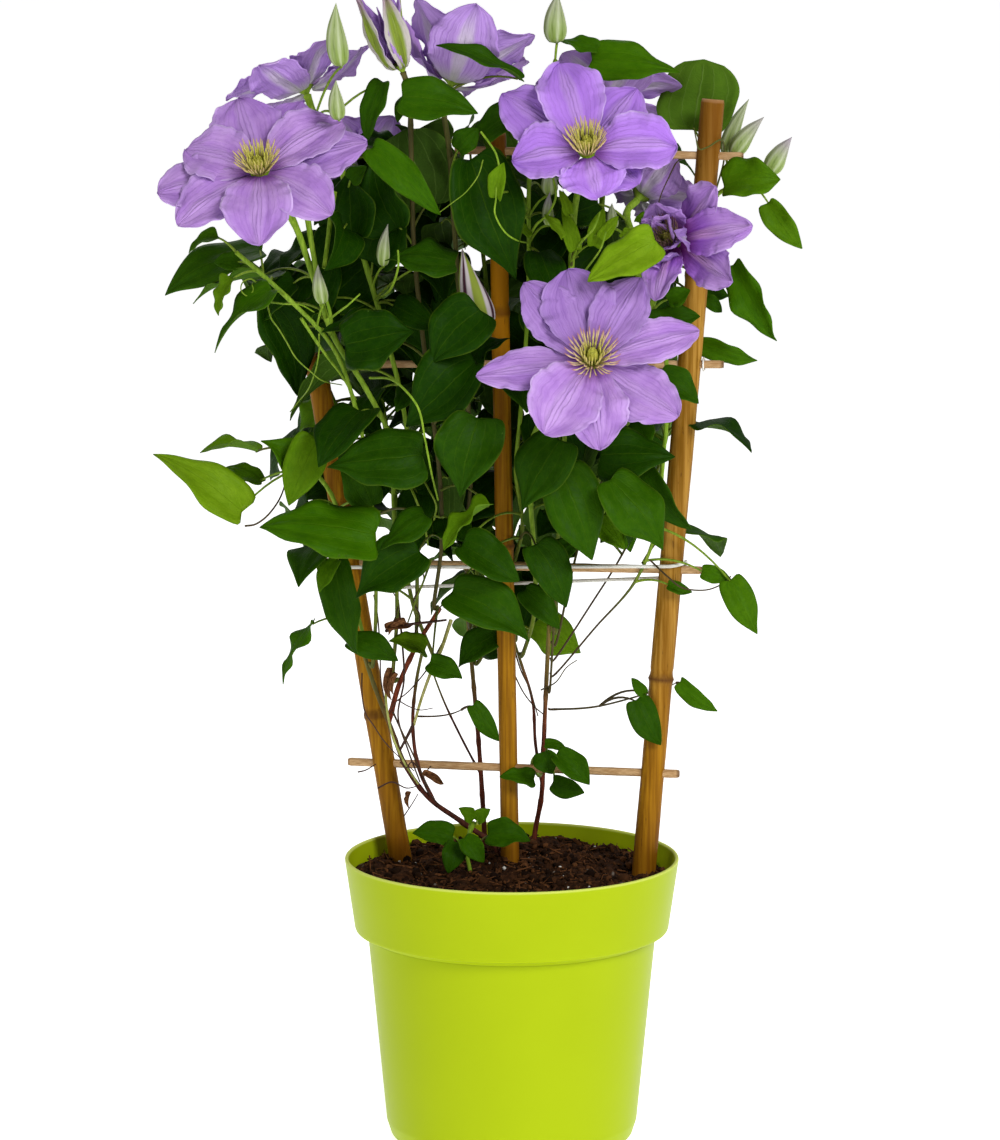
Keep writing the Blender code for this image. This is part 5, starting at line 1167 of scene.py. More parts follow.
# The number of the shoot that bears it, then as in shoots
smallLeaves = [
    (5, (405, 98, 397, 122, 9, -10, -4, 20, 0.35)), (2, (218, 236, 188, 252, 14, -14, 0, 30, 0.5)),
    (8, (562, 238, 545, 214, 8, -26, 0, 20, 0.8)), (12, (668, 585, 692, 592, 8, -4, 0, 20, 0.4)),
    (9, (653, 214, 634, 221, 8, -20, 0, 10, 0.6)), (8, (600, 238, 618, 216, 8, -26, 0, 10, 0.8)),
    (8, (570, 214, 560, 190, 8, -24, 0, 20, 0.78)), (7, (530, 236, 514, 222, 8, -14, 0, 20, 0.7)),
    (9, (622, 232, 640, 246, 9, -24, 0, 10, 0.75)), (13, (668, 300, 690, 290, 12, -14, 0, 20, 0.45)),
    (11, (706, 300, 722, 312, 9, 20, 0, 20, 0.3)), (2, (240, 262, 214, 262, 12, -8, 0, -20, 0.35)),
    (3, (320, 300, 300, 322, 15, 4, 0, 20, 0.2)), (1, (300, 450, 318, 432, 12, -10, 0, 10, 0.4)),
    (6, (458, 150, 478, 128, 16, -16, 0, 10, 0.3)), (4, (350, 180, 366, 166, 12, -6, 0, 0, 0.3)),
    (7, (497, 198, 503, 163, 13, -54, -4, -20, 0.72)), (4, (352, 236, 350, 168, 38, 36, 4, 0, 0.06)),
    (5, (398, 228, 372, 158, 38, 44, 6, 10, 0.04)), (4, (372, 262, 402, 205, 36, 28, 4, -10, 0.08)),
    (5, (392, 150, 352, 136, 26, 30, 4, 20, 0.12)), (1, (372, 506, 338, 450, 25, -22, -4, 0, 0.3)),
    (6, (462, 372, 508, 336, 30, -20, -4, 0, 0.06)), (1, (338, 560, 318, 592, 13, -14, -4, 20, 0.6)),
]

# The outline that holds the further leaves in the view, and their three groups. face is how far a leaf turns
# to the view, or outward where it is below 0
massOutline = [(330, 150), (402, 128), (440, 120), (520, 120), (600, 200), (650, 215), (690, 250), (684, 330),
               (676, 420), (668, 500), (660, 556), (600, 548), (572, 575), (560, 606), (545, 640), (520, 655),
               (500, 668), (452, 650), (448, 600), (440, 565), (384, 560), (360, 600), (345, 612), (318, 600),
               (300, 540), (268, 500), (262, 440), (300, 420), (298, 396), (262, 372), (250, 330), (225, 300),
               (222, 250), (250, 240), (300, 250)]
massLow, massHigh = np.min(massOutline, 0), np.max(massOutline, 0)
massRule = dict(tries=22, reach=(10, 52), above=4, shyness=40, margin=1, clear=0.9)
beforeCane = dict(side=17, above=12, behind=8)
extraLeaves = [
    dict(count=120, depth=(16, 80), size=(34, 52), width=(0.62, 0.85), face=0.75, tone=(0.0, 0.22), seed=11),
    dict(count=110, depth=(60, 128), size=(32, 50), width=(0.58, 0.8), face=-0.4, tone=(0.1, 0.5), seed=23),
    dict(count=70, depth=(0, 40), size=(30, 48), width=(0.60, 0.85), face=0.8, tone=(0.0, 0.2), seed=31),
]


def insideMass(points):  # whether all of the points in the view lie within its outline
    a = np.array(massOutline, float)
    b = np.roll(a, -1, 0)
    across, down = points[:, :1], points[:, 1:]
    crossed = (a[:, 1] > down) != (b[:, 1] > down)
    meets = a[:, 0] + (down - a[:, 1]) * (b[:, 0] - a[:, 0]) / (b[:, 1] - a[:, 1] + 1e-9)
    return ((crossed & (across < meets)).sum(1) % 2 == 1).all()


def hidesCane(places):  # whether some of the places stand before a cane in the view
    seen = seenAt(places)
    for name in canes:
        foot, top = caneEnds(name)
        low, high = seenAt(foot), seenAt(top)
        share = np.clip((seen[:, 1] - low[1]) / (high[1] - low[1]), 0, 1)
        near = np.abs(seen[:, 0] - (low[0] + share * (high[0] - low[0]))) < beforeCane["side"]
        level = (seen[:, 1] > high[1] - beforeCane["above"]) & (seen[:, 1] < low[1])
        before = places[:, 1] < foot[1] + share * (top[1] - foot[1]) + beforeCane["behind"]
        if (near & level & before).any():
            return True
    return False


stemNames = list(shootWays)
stemPlaces = [splined(shootWays[name], 6)[10:] for name in stemNames]
stemOwner = np.concatenate([np.full(len(line), k) for k, line in enumerate(stemPlaces)])
stemPlaces = np.vstack(stemPlaces)


def leafGrid(leaf):
    rows = np.array([0.02, 0.2, 0.45, 0.75, 0.98])
    u, v = (grid.ravel() for grid in np.meshgrid(rows, [-1.0, 0.0, 1.0], indexing="ij"))
    blade = leafSurface(u, v, leaf)
    away = unit(np.cross(leaf[1] - leaf[0], blade[5] - blade[3])) * 0.7
    faces = quadsOf(np.arange(15).reshape(5, 3))
    return np.vstack([blade - away, blade + away]), np.vstack([faces, faces + 15]), blade


def addExtraLeaves():
    grown = 0
    for group in extraLeaves:
        rng = np.random.default_rng(group["seed"])
        made = 0
        for _ in range(group["count"] * massRule["tries"]):
            if made >= group["count"]:
                break
            spot = rng.uniform(massLow, massHigh)
            depth = rng.uniform(*group["depth"])
            tiltBy, turnBy, size = rng.normal(0, 0.25, 3), rng.normal(0, 0.7), rng.uniform(*group["size"])
            wide, droop = rng.uniform(*group["width"]), rng.uniform(0.2, 1.1)
            tone = rng.uniform(*group["tone"])
            if not insideMass(spot[None]):
                continue
            base = viewPlace(*spot, depth)
            away = stemPlaces - base
            reach = np.linalg.norm(away, axis=1) + massRule["shyness"] * (away[:, 2] > massRule["above"])
            if not massRule["reach"][0] < reach.min() < massRule["reach"][1]:
                continue
            foot = stemPlaces[reach.argmin()]
            out = unit((base - foot) * (1, 1, 0) + 1e-6)
            cos, sin = math.cos(turnBy), math.sin(turnBy)
            out = np.array([out[0] * cos - out[1] * sin, out[0] * sin + out[1] * cos, 0])
            tip = base + size * (out * math.cos(droop) - up * math.sin(droop))
            outward = unit((base - (0, 22, 0)) * (1, 1, 0))
            hint = (towardView if group["face"] > 0 else outward) * abs(group["face"]) + up * 0.45 + tiltBy
            leaf = (base, tip, wide * size, rng.normal(0, 0.3), hint, *leafForm(rng.uniform(0, 90)))
            places, faces, blade = leafGrid(leaf)
            margin = massRule["margin"]
            low, high = np.array(cadLow) / mm + margin, np.array(cadHigh) / mm - margin
            if (blade < low).any() or (blade > high).any() or not insideMass(seenAt(blade)):
                continue
            if hidesCane(blade) or room.meets(places, faces):
                continue
            line = stalkLine(base, foot)
            if room.crowds(line[3:], massRule["clear"]):
                continue
            owner = stemNames[stemOwner[reach.argmin()]]
            room.add("extra", places, faces)
            addLeaf(leafHeaps[owner], leaf, tone, rng.uniform(0, 400), foot)
            made += 1
        grown += made
    return grown


def addSmallLeaves():
    for k, (owner, row) in enumerate(smallLeaves):
        shoot = "shoot_%d" % owner
        clear = (leaf for leaf in seenLeaves(row[:8], 900 + k) if not room.meets(*leafGrid(leaf)[:2]))
        leaf = next(clear, None) or next(seenLeaves(row[:8], 900 + k))
        room.add("extra", *leafGrid(leaf)[:2])
        addLeaf(leafHeaps[shoot], leaf, row[8], 500 + k, nearestOn(shootWays[shoot], leaf[0] - up * 12))


# Thin stems, stalks and tendrils seen among the leaves: the number of their shoot, radius, age from fresh
# green to olive, or below 0 for straw, how brown, and places in the view
wands = [
    (2, 1.1, 0.0, 0.0, [(301, 318, -22), (316, 341, -18), (329, 359, -14), (342, 376, -10), (356, 400, -6)]),
    (2, 0.5, 0.2, 0.0, [(319, 334, -24), (319, 351, -34), (316, 369, -30), (309, 388, -14), (300, 400, 6),
                        (290, 412, 12)]),
    (2, 0.5, 0.3, 0.0, [(267, 303, -14), (271, 318, -22), (278, 328, -24), (286, 341, -26), (296, 358, -28),
                        (311, 372, -30), (323, 381, -26), (342, 385, -10)]),
    (2, 0.6, 0.1, 0.0, [(269, 302, -20), (285, 304, -30), (301, 305, -28), (314, 312, -16)]),
    (2, 0.8, 0.0, 0.0, [(331, 318, -16), (340, 311, -40), (348, 305, -52), (360, 294, -56)]),
    (3, 1.2, 0.0, 0.0, [(330, 335, -8), (331, 318, -14), (326, 298, -16), (323, 285, -18)]),
    (3, 2.0, 0.0, 0.0, [(307, 214, 0), (311, 240, -6), (318, 280, -12), (326, 318, -10)]),
    (4, 1.9, 0.0, 0.0, [(334, 192, 0), (331, 215, -6), (328, 240, -12), (324, 268, -18)]),
    (5, 0.8, 0.0, 0.0, [(370, 378, -10), (390, 379, -44), (406, 391, -72), (419, 410, -74), (425, 439, -72),
                        (431, 471, -64), (438, 500, -20)]),
    (2, 0.5, 0.1, 0.0, [(258, 284, -14), (251, 279, -20), (243, 282, -24), (241, 290, -26), (247, 296, -26),
                        (253, 291, -26), (252, 284, -28)]),
    (4, 0.9, 0.1, 0.0, [(376, 300, 12), (390, 290, -20), (398, 268, -36), (398, 250, -36)]),
    (6, 0.4, 0.3, 0.0, [(483, 160, -48), (478, 176, -54), (466, 192, -56), (452, 203, -54),
                        (440, 212, -44)]),
    (7, 0.7, 0.0, 0.0, [(481, 132, -44), (490, 144, -50), (496, 154, -53), (499, 168, -55), (497, 184, -56),
                        (496, 199, -55), (495, 214, -53), (504, 231, -48), (516, 240, -40), (528, 243, 4)]),
    (7, 0.9, 0.0, 0.0, [(528, 240, 8), (536, 225, -20), (548, 214, -26), (556, 196, -26), (553, 178, -20)]),
    (8, 0.8, 0.0, 0.0, [(571, 262, -6), (580, 244, -26), (594, 228, -34), (600, 212, -34)]),
    (8, 0.7, 0.0, 0.0, [(570, 290, -2), (584, 272, -34), (600, 250, -50), (606, 232, -52)]),
    (11, 0.5, 0.6, 0.9, [(686, 158, 24), (677, 162, 14), (669, 177, -6), (661, 195, -22), (656, 214, -34)]),
    (11, 0.6, 0.5, 0.6, [(716, 190, 28), (724, 160, 22), (722, 140, 6), (708, 147, -10), (699, 149, -12),
                         (696, 138, -10), (694, 128, 6)]),
    (12, 0.6, 0.6, 0.9, [(650, 560, 2), (668, 577, -10), (683, 588, -12), (706, 590, -12), (724, 583, -14),
                         (731, 576, -12)]),
    (9, 0.8, 0.2, 0.0, [(575, 545, 30), (590, 530, -20), (604, 512, -36), (612, 490, -30)]),
    (5, 0.9, 0.4, 0.0, [(405, 475, 0), (412, 490, -24), (418, 505, -28), (424, 522, -16), (428, 545, 8)]),
    (5, 0.7, 0.5, 0.0, [(418, 470, -8), (428, 488, -30), (436, 505, -34), (434, 520, -20)]),
    (1, 0.7, 0.6, 0.9, [(245, 526, -20), (256, 524, -22), (268, 515, -22), (279, 500, -18), (285, 484, -12),
                        (286, 470, -8)]),
    (5, 0.8, 0.5, 0.2, [(431, 560, 20), (424, 580, 4), (416, 600, 4), (408, 622, 16)]),
    (15, 0.45, 0.8, 1.0, [(362, 673, 22), (362, 692, 12), (365, 712, 10), (374, 726, 10), (384, 741, 12),
                          (398, 756, 14), (414, 771, 22)]),
    (15, 0.6, 0.8, 1.0, [(374, 595, 34), (378, 620, 20), (380, 650, 16), (381, 680, 18), (386, 706, 22)]),
    (15, 0.4, 0.8, 1.0, [(398, 700, 22), (408, 706, 10), (420, 710, 8), (433, 708, 6)]),
    (15, 0.7, 0.8, 0.9, [(393, 712, 22), (402, 732, 12), (411, 750, 14), (420, 770, 20), (430, 792, 28)]),
    (15, 0.5, 0.8, 1.0, [(420, 770, 20), (412, 762, 8), (406, 768, 6), (400, 762, 4)]),
    (15, 0.5, 0.8, 1.0, [(440, 806, 26), (428, 792, 14), (424, 776, 12), (431, 766, 10)]),
    (15, 0.6, 0.7, 0.9, [(412, 640, 26), (420, 618, 14), (414, 600, 12), (424, 580, 14), (418, 562, 18)]),
    (15, 0.5, 0.7, 0.9, [(436, 612, 26), (448, 600, 10), (458, 606, 8), (470, 598, 18)]),
    (15, 0.9, -0.7, 0.15, [(388, 668, 20), (386, 700, 16), (392, 734, 14), (404, 762, 16), (418, 784, 22)]),
    (15, 0.7, 0.8, 1.0, [(398, 600, 26), (402, 640, 14), (404, 680, 12), (398, 716, 14), (408, 750, 16),
                         (420, 782, 22)]),
    (15, 0.5, 0.8, 1.0, [(444, 640, 24), (428, 668, 10), (410, 690, 8), (396, 702, 12), (388, 716, 18)]),
    (15, 1.35, -1.0, 0.0, [(451, 620, 26), (441, 650, 16), (431, 672, 14), (421, 700, 16), (414, 725, 22)]),
    (15, 1.2, 0.8, 1.0, [(414, 723, 22), (408, 735, 22), (400, 750, 24)]),
    (15, 0.5, 0.8, 1.0, [(378, 788, 16), (392, 782, 10), (406, 788, 12), (418, 786, 20)]),
    (15, 0.45, 0.8, 1.0, [(404, 816, 20), (412, 804, 12), (418, 794, 16)]),
    (15, 0.5, 0.8, 1.0, [(358, 772, 34), (366, 770, 30), (376, 764, 34)]),
    (15, 1.1, 0.8, 1.0, [(386, 631, 16), (398, 627, 10), (412, 624, 8), (430, 622, 10), (446, 620, 22)]),
    (15, 0.4, 0.8, 1.0, [(392, 590, 30), (398, 604, 16), (394, 620, 12), (386, 628, 14)]),
    (16, 0.5, 0.8, 0.9, [(508, 660, 50), (522, 690, 40), (534, 706, 38), (543, 714, 44)]),
    (16, 0.6, 0.8, 0.9, [(512, 640, 46), (520, 668, 34), (530, 690, 32), (538, 716, 40)]),
    (16, 0.5, 0.7, 0.8, [(541, 690, 40), (556, 682, 26), (566, 668, 24), (577, 660, 26)]),
]

# Dry leaves caught among the stems: base and tip in the view, width, depth, lean, roll
dryLeaves = [(385, 628, 414, 624, 5, 6, 6, 30), (406, 622, 388, 634, 4, 2, 4, 60),
             (392, 668, 390, 700, 5, 6, 2, 40), (398, 674, 392, 694, 4, 4, 2, 80),
             (422, 774, 444, 784, 5, 4, 4, 20), (411, 792, 408, 808, 3, 4, 2, 70),
             (374, 575, 366, 590, 5, 12, 0, 40), (508, 560, 516, 580, 5, 20, 0, 30)]


def addWands():
    for owner, radius, age, brown, way in wands:
        line = splined([viewPlace(*place) for place in way], 6)
        share = np.linspace(0, 1, len(line))
        heap = leafHeaps["shoot_%d" % owner]
        heap.add(*pipe(line, radius * (1.05 - 0.35 * share), 6), finish=1, age=age, brown=brown, straw=-age)
    for k, row in enumerate(dryLeaves):
        leaf = list(next(seenLeaves(row, 700 + k)))
        leaf[5:7] = 1.3, 0.9
        addLeaf(leafHeaps["shoot_15"], leaf, 0.2, 700 + k, dry=1.0)


print("more leaves grown:", addExtraLeaves())
addSmallLeaves()
addWands()
for name, heap in leafHeaps.items():
    heap.build("leaves_" + name, [leafSkin, stemSkin, budSkin], [name], "leaves")
print("shoots dressed")


# Blooms

sepalShape = dict(root=4.2, layer=3.0, belly=0.05, curl=0.008, rows=44, thickness=0.5, rib=0.6, ruffle=0.085)


def sepalsOf(bloom):  # (angle, reach, width, layer, shade) of each sepal, in order round the bloom
    if "ring" in bloom:
        count, reach, first = bloom["ring"]
        return [(math.radians(first + 360 * k / count), reach * (1 + 0.05 * math.sin(5 * k)), 1.0,
                 2 * (k % 2) - 1, 0.0) for k in range(count)]
    centre, face, across, over = bloomFrame(bloom)
    top = centre + face * bloom["rise"]
    found = []
    for *tip, wide, layer, shade in bloom["tips"]:
        near, far = viewPlace(*tip, -200), viewPlace(*tip, 200)
        place = near + (far - near) * ((top - near) @ face) / ((far - near) @ face) - top
        reach = float(np.linalg.norm(place))
        found.append((math.atan2(place @ over, place @ across), reach, wide, layer, shade))
    return sorted(found)


def sepalSurface(u, v, bloom, order, angle, reach, wide, layer):
    # u runs from the bloom's middle to the tip, v from edge to edge. The middle line rises as u^1.6 with a
    # belly, and the outline is sin(pi u^1.22)^0.62, with 0.62 as the bloom's point. Layer, fold, twist, ribs,
    # wrinkles and ruffles stand off it
    centre, face, across, over = bloomFrame(bloom)
    shape = sepalShape
    out = across * math.cos(angle) + over * math.sin(angle)
    side = over * math.cos(angle) - across * math.sin(angle)
    belly = shape["belly"] * reach
    radial = shape["root"] + (reach - shape["root"]) * u
    height = bloom["rise"] * u**1.6 + belly * np.sin(math.pi * u)
    slope = bloom["rise"] * 1.6 * u**0.6 + belly * math.pi * np.cos(math.pi * u)
    steep = np.hypot(slope, reach - shape["root"])
    own, rough = order * 2.39 + bloom["width"], bloom.get("rough", 1.0)
    full = 0.5 * bloom["width"] * wide * (1.04 + 0.05 * math.sin(own))
    half = full * np.sin(math.pi * np.clip(u, 0, 1) ** 1.22) ** bloom.get("point", 0.62)
    jag = 0.024 * np.sin(23 * u + own) + 0.020 * np.sin(41 * u + 2 * own) + 0.012 * np.sin(67 * u + 3 * own)
    half = half * (1 + rough * jag) + 2.6 * (1 - u) ** 2
    half = np.maximum(half, 0.35)
    bend = v * half * shape["curl"]
    lift = (1 - np.cos(bend)) / shape["curl"]
    lift = lift + layer * shape["layer"] * np.sin(math.pi * np.minimum(0.08 + u, 1))
    lift = lift + half * (0.12 * layer * np.abs(v) + 0.06 * v * np.sin(9.5 * u + 1.9 * order))
    bar = bell(v, 0, 0.05) + 0.8 * bell(np.abs(v), 0.14, 0.05)
    fade = np.minimum(u * 6, 1) * (1 - smoothStep(0.7, 1.0, u))
    lift = lift + shape["rib"] * bar * fade - 0.8 * bell(np.abs(v), 0.27, 0.12) * fade
    edge = np.abs(v) ** 3 * np.minimum(u * 3, 1)
    lift = lift + rough * full * shape["ruffle"] * edge * np.sin(15 * u + 2.1 * own + 1.3 * np.sign(v))
    lift = lift + rough * 0.045 * full * edge * np.sin(34 * u + 3.3 * own - np.sign(v))
    lift = lift + rough * 0.022 * full * edge * np.sin(61 * u + 1.3 * own + np.sign(v))
    lift = lift + rough * 0.8 * np.sin(7 * u + own) * np.cos(5 * v + own) * np.minimum(u * 3, 1)
    lift = lift + 0.35 * np.sin(15 * u + 6 * v + own) * np.sin(math.pi * u)
    lift = lift + 0.20 * np.sin(29 * v + 5 * np.sin(2.5 * u + own)) * np.sin(math.pi * u)
    lift = lift + 0.35 * np.abs(v) ** 1.5 * np.sin(21 * u + 7 * v + own) * np.minimum(u * 3, 1)
    lift = lift + bloom.get("twist", 0.0) * v * half * u
    notch = 0.035 * reach * np.sin(7 * v + own) + 0.018 * reach * np.sin(15 * v + 2 * own)
    radial = radial + 0.02 * reach * smoothStep(0.88, 1.0, u) + notch * smoothStep(0.5, 0.9, u) * half / full
    lift = lift - 0.04 * reach * np.clip(u - 0.6, 0, 1) ** 2 / 0.16
    return (centre + out * (radial - lift * slope / steep)[..., None]
            + face * (height + lift * (reach - shape["root"]) / steep)[..., None]
            + side * (np.sin(bend) / shape["curl"])[..., None])


def makeSepals(name, bloom, stemEnd):
    heap = Heap()
    centre, face = bloomFrame(bloom)[:2]
    share = np.linspace(0, 1, 7)
    line = centre + face * (receptacle["foot"] + (receptacle["top"] - receptacle["foot"]) * share[:, None])
    heap.add(*pipe(line, receptacle["stalk"] + receptacle["flare"] * share**1.5, 16), finish=1, age=0.2)
    if "seat" in bloom:
        link = stemEnd + (line[1] - stemEnd) * share[:, None]
        heap.add(*pipe(link, np.full(len(link), receptacle["link"]), 10), finish=1, age=0.1)
    u = np.linspace(0, 1, sepalShape["rows"])
    v = np.linspace(-1, 1, 35)
    v = np.sign(v) * np.abs(v) ** 1.25
    u, v = np.meshgrid(u, v, indexing="ij")
    wanted = [(bloom, *sepal) for sepal in sepalsOf(bloom)]
    count, reach, rise, width = bloom.get("inner", (0, 0, 0, 0))
    for k in range(count):
        own = dict(bloom, rise=rise * (1 - 0.1 * (k % 3)), width=width, twist=0.7 * (-1) ** k, deep=1.0,
                   pale=0.0)
        wanted.append((own, 2.4 * k, reach * (1 - 0.06 * k), 1.0, 2 * (k % 2) - 1, 0.0))
    for order, (own, angle, reach, wide, layer, shade) in enumerate(wanted):
        grid = sepalSurface(u, v, own, order, angle, reach, wide, layer)
        places, quads, uv, under = sheet(grid, sepalShape["thickness"] * (1 - 0.4 * v**2), face, u, v)
        heap.add(places, quads, uv=uv, under=under, seed=7.0 * order + bloom["width"], shade=shade,
                 deep=own.get("deep", 0.0), pale=under * own.get("pale", 0.0), hue=own.get("hue", 0.0))
    return heap.build("petals_" + name, [sepalSkin, stemSkin], [name + "_sepals"], "sepals")


# Stamens by ring: how many, lean off the axis at foot and tip, length, pinkness. dome is for the styles
stamenRings = [dict(count=30, lean=(66, 76), length=(14, 18.5), ring=1.0),
               dict(count=24, lean=(52, 46), length=(13.5, 16.5), ring=0.7),
               dict(count=20, lean=(40, 20), length=(12, 14.5), ring=0.3),
               dict(count=16, lean=(28, 6), length=(10.5, 12.5), ring=0.1)]
styles = dict(count=44, lean=(40, -16), length=(7.5, 9.5), rise=2.4, spread=2.9, radii=(0.50, 0.34))
cushion = dict(height=3.0, foot=5.2, top=3.9)  # the low dome that they all stand on
filamentSides = 5
filamentRows = np.array([0, 0.15, 0.3, 0.45, 0.58, 0.64, 0.74, 0.86, 0.95, 1.0])
filamentRadii = np.array([0.46, 0.42, 0.38, 0.35, 0.35, 0.44, 0.50, 0.42, 0.28, 0.10])


def addFilament(heap, root, face, out, leans, length, radii, raised, **values):  # each also bends upwards
    lean = np.interp(filamentRows, (0, 0.6, 1), (leans[0] * 0.7, leans[1], leans[1] * 0.75))
    lean = np.radians(lean)[:, None]
    way = unit(face * np.cos(lean) + out * np.sin(lean) + up * raised * filamentRows[:, None])
    step = np.diff(filamentRows, prepend=0)[:, None] * length
    line = root + np.cumsum(way * step, 0)
    places, quads, fans = pipe(line, radii, filamentSides)
    heap.add(places, quads, fans, tip=byRing(filamentRows, filamentSides), **values)


def makeStamens(name, bloom):
    rng = np.random.default_rng(len(name) * 100 + int(bloom["width"]) + bloom["centre"][0])
    heap = Heap()
    centre, face, across, over = bloomFrame(bloom)
    foot = centre + face * (receptacle["top"] + receptacle["gap"])
    share = np.linspace(0, 1, 6)
    radii = cushion["foot"] + (cushion["top"] - cushion["foot"]) * share
    # tip 0 gives the cushion the dark foot colour, partly painted shade.
    heap.add(*pipe(foot + face * cushion["height"] * share[:, None], radii, 14), tip=0.0, ring=0.0)
    splay, raised = bloom.get("splay", 0.8), bloom.get("raised", 0.55)
    for kind in stamenRings:
        for k in range(kind["count"]):
            angle = 2 * math.pi * (k + rng.uniform(-0.35, 0.35)) / kind["count"]
            out = across * math.cos(angle) + over * math.sin(angle)
            lean = (np.array(kind["lean"]) + rng.normal(0, 5, 2)) * splay
            length = rng.uniform(*kind["length"])
            root = foot + face * (2.6 - 1.6 * kind["ring"]) + out * (cushion["top"] + 0.9 * kind["ring"])
            tip = bloom.get("dark", 0.0)
            addFilament(heap, root, face, out, lean, length, filamentRadii, raised,
                        ring=kind["ring"] * bloom.get("blush", 0.9),
                        dark=byRing((filamentRows > 0.5) * tip, filamentSides, 0, tip))
    for k in range(styles["count"]):
        angle, spread = 2.4 * k, math.sqrt((k + 0.5) / styles["count"])
        out = across * math.cos(angle) + over * math.sin(angle)
        lean = np.array(styles["lean"]) * spread + rng.normal(0, 2, 2)
        length = rng.uniform(*styles["length"]) * bloom.get("dome", 0.9) * (1.12 - 0.3 * spread)
        root = foot + face * styles["rise"] + out * styles["spread"] * spread
        addFilament(heap, root, face, out, lean, length, np.linspace(*styles["radii"], len(filamentRows)),
                    raised, ring=0.0, dark=bloom.get("dark", 0.0) * 0.4)
    return heap.build("centre_" + name, [stamenSkin], [name + "_stamens"], "stamens")


for name, bloom in blooms.items():
    stemEnd = bloomFrame(bloom)[0] + bloomFrame(bloom)[1] * (receptacle["foot"] - 2)
    bloom = dict(bloom, centre=bloom.get("seat", bloom["centre"]))
    makeSepals(name, bloom, stemEnd)
    if name + "_stamens" in frame["nodes"]:
        makeStamens(name, bloom)
print("blooms opened")


# Canes, rungs, tie and clips

# joint, groove, ring: height over a joint's middle, width, and how much. damp, crown, pale: the heights that
# each changes between. The golden stretch, partly painted light: middle and half length. cut, hollow: depth
# and width share of the sunk top
caneShape = dict(rows=220, sides=32, joint=(0, 1.7, 1), groove=(4.2, 1.4, 0.35), ring=(3.2, 1.0, 0.5),
                 damp=(168, 215), crown=(540, 640), pale=(230, 330), gold=(523, 36), eased=0.5,
                 cut=(0.1, 0.55), hollow=(3.0, 0.35))


def makeCane(name):
    # a tapered round bar; each joint is a bell exp(-(z/width)^2) with a groove above, and the top is dished
    cane, shape = canes[name], caneShape
    foot, top = caneEnds(name)
    share = np.linspace(0, 1, shape["rows"])
    line = foot + (top - foot) * share[:, None]
    radii = cane["radii"][0] + (cane["radii"][1] - cane["radii"][0]) * share
    joint = 0
    for height in cane["joints"]:
        swell, groove, ring = (size * bell(line[:, 2], height + over, wide)
                               for over, wide, size in (shape["joint"], shape["groove"], shape["ring"]))
        radii = radii + jointSwell * swell - groove
        joint = joint + swell + ring
    radii[-1] -= shape["eased"]
    way = unit(top - foot)
    (near, wide), (deep, narrow) = shape["cut"], shape["hollow"]
    line = np.vstack([line, top - way * near, top - way * deep])
    radii = np.append(radii, [radii[-1] * wide, radii[-1] * narrow])
    wobble = ripple(line, 60, 5)[:, None] * 0.02 + ripple(line, 9, 8)[:, None] * 0.004
    radii = radii[:, None] * (1 + wobble)
    sides = shape["sides"]
    places, quads, fans = pipe(line, radii, sides, bulge=0)
    cut = (np.arange(len(line)) >= shape["rows"] - 1) * 0.9
    brown = cane["brown"] * (1 + 6 * smoothStep(-26, -4, (line - top) @ way))
    brown = brown + 0.55 * (1 - smoothStep(*shape["damp"], line[:, 2]))
    brown = brown + cane["crown"] * smoothStep(*shape["crown"], line[:, 2])
    # A golden stretch round a middle height, partly painted light.
    middle, long = shape["gold"]
    heap = Heap().add(places, quads, fans, joint=byRing(np.append(joint, [0, 0]), sides, 0, 0),
                      gold=cane.get("gold", 0.0) * np.exp(-(((places[:, 2] - middle) / long) ** 4)),
                      cut=byRing(cut, sides), brown=byRing(brown, sides, 0, 0),
                      pale=cane.get("pale", 0.0) * smoothStep(*shape["pale"], places[:, 2]))
    return heap.build(name.replace("cane", "bamboo"), [bamboo], [name], "bamboo")


rungShape = dict(rows=120, sides=16, flat=0.07, ends=0.86)


def makeRung(name):  # split wood: a round bar flattened a little on four sides, with rough cut ends
    ends = np.array(rungs[name], float)
    share = np.linspace(0, 1, rungShape["rows"])
    line = ends[0] + (ends[1] - ends[0]) * share[:, None]
    angle = fullTurn(rungShape["sides"])
    flat = 0.98 - rungShape["flat"] * np.cos(4 * angle)
    radii = rungRadius * (flat + 0.045 * ripple(line, 30, 3)[:, None]
                          + 0.03 * ripple(line, 7, 4)[:, None] * np.cos(angle))
    radii[[0, -1]] *= rungShape["ends"]
    places, quads, fans = pipe(line, radii, rungShape["sides"], bulge=0.05)
    cut = np.zeros(rungShape["rows"])
    cut[[0, -1]] = 0.6
    heap = Heap().add(places, quads, fans, cut=byRing(cut, rungShape["sides"], 1))
    return heap.build(name.replace("rung", "crosspiece"), [rungWood], [name], "rung_wood")


def makeBand():
    heap = Heap().add(*pipe(tieLine(25), tie["radius"], tie["sides"], closed=True))
    return heap.build("elastic", [bandSkin], ["tie"], "tie")


def makeClip(name):
    left, right = (np.array(end, float) for end in rungs["rung_3"])
    way = unit(right - left)
    centre = left + (right - left) * (clips["across"][name] - left[0]) / (right[0] - left[0])
    side = unit(np.cross(way, up))
    angle = fullTurn(clips["rows"])[:, None]
    line = centre + clips["radius"] * (np.cos(angle) * side + np.sin(angle) * np.cross(side, way))
    heap = Heap().add(*pipe(line, clips["wire"], clips["sides"], closed=True))
    return heap.build(name.replace("clip", "ring"), [clipSkin], [name], "clips")


for name in canes:
    makeCane(name)
for name in rungs:
    makeRung(name)
makeBand()
for name in clips["across"]:
    makeClip(name)
print("trellis made")


# Woody stems

barkShape = dict(sides=14, apart=36, swell=0.18, thinner=0.34)


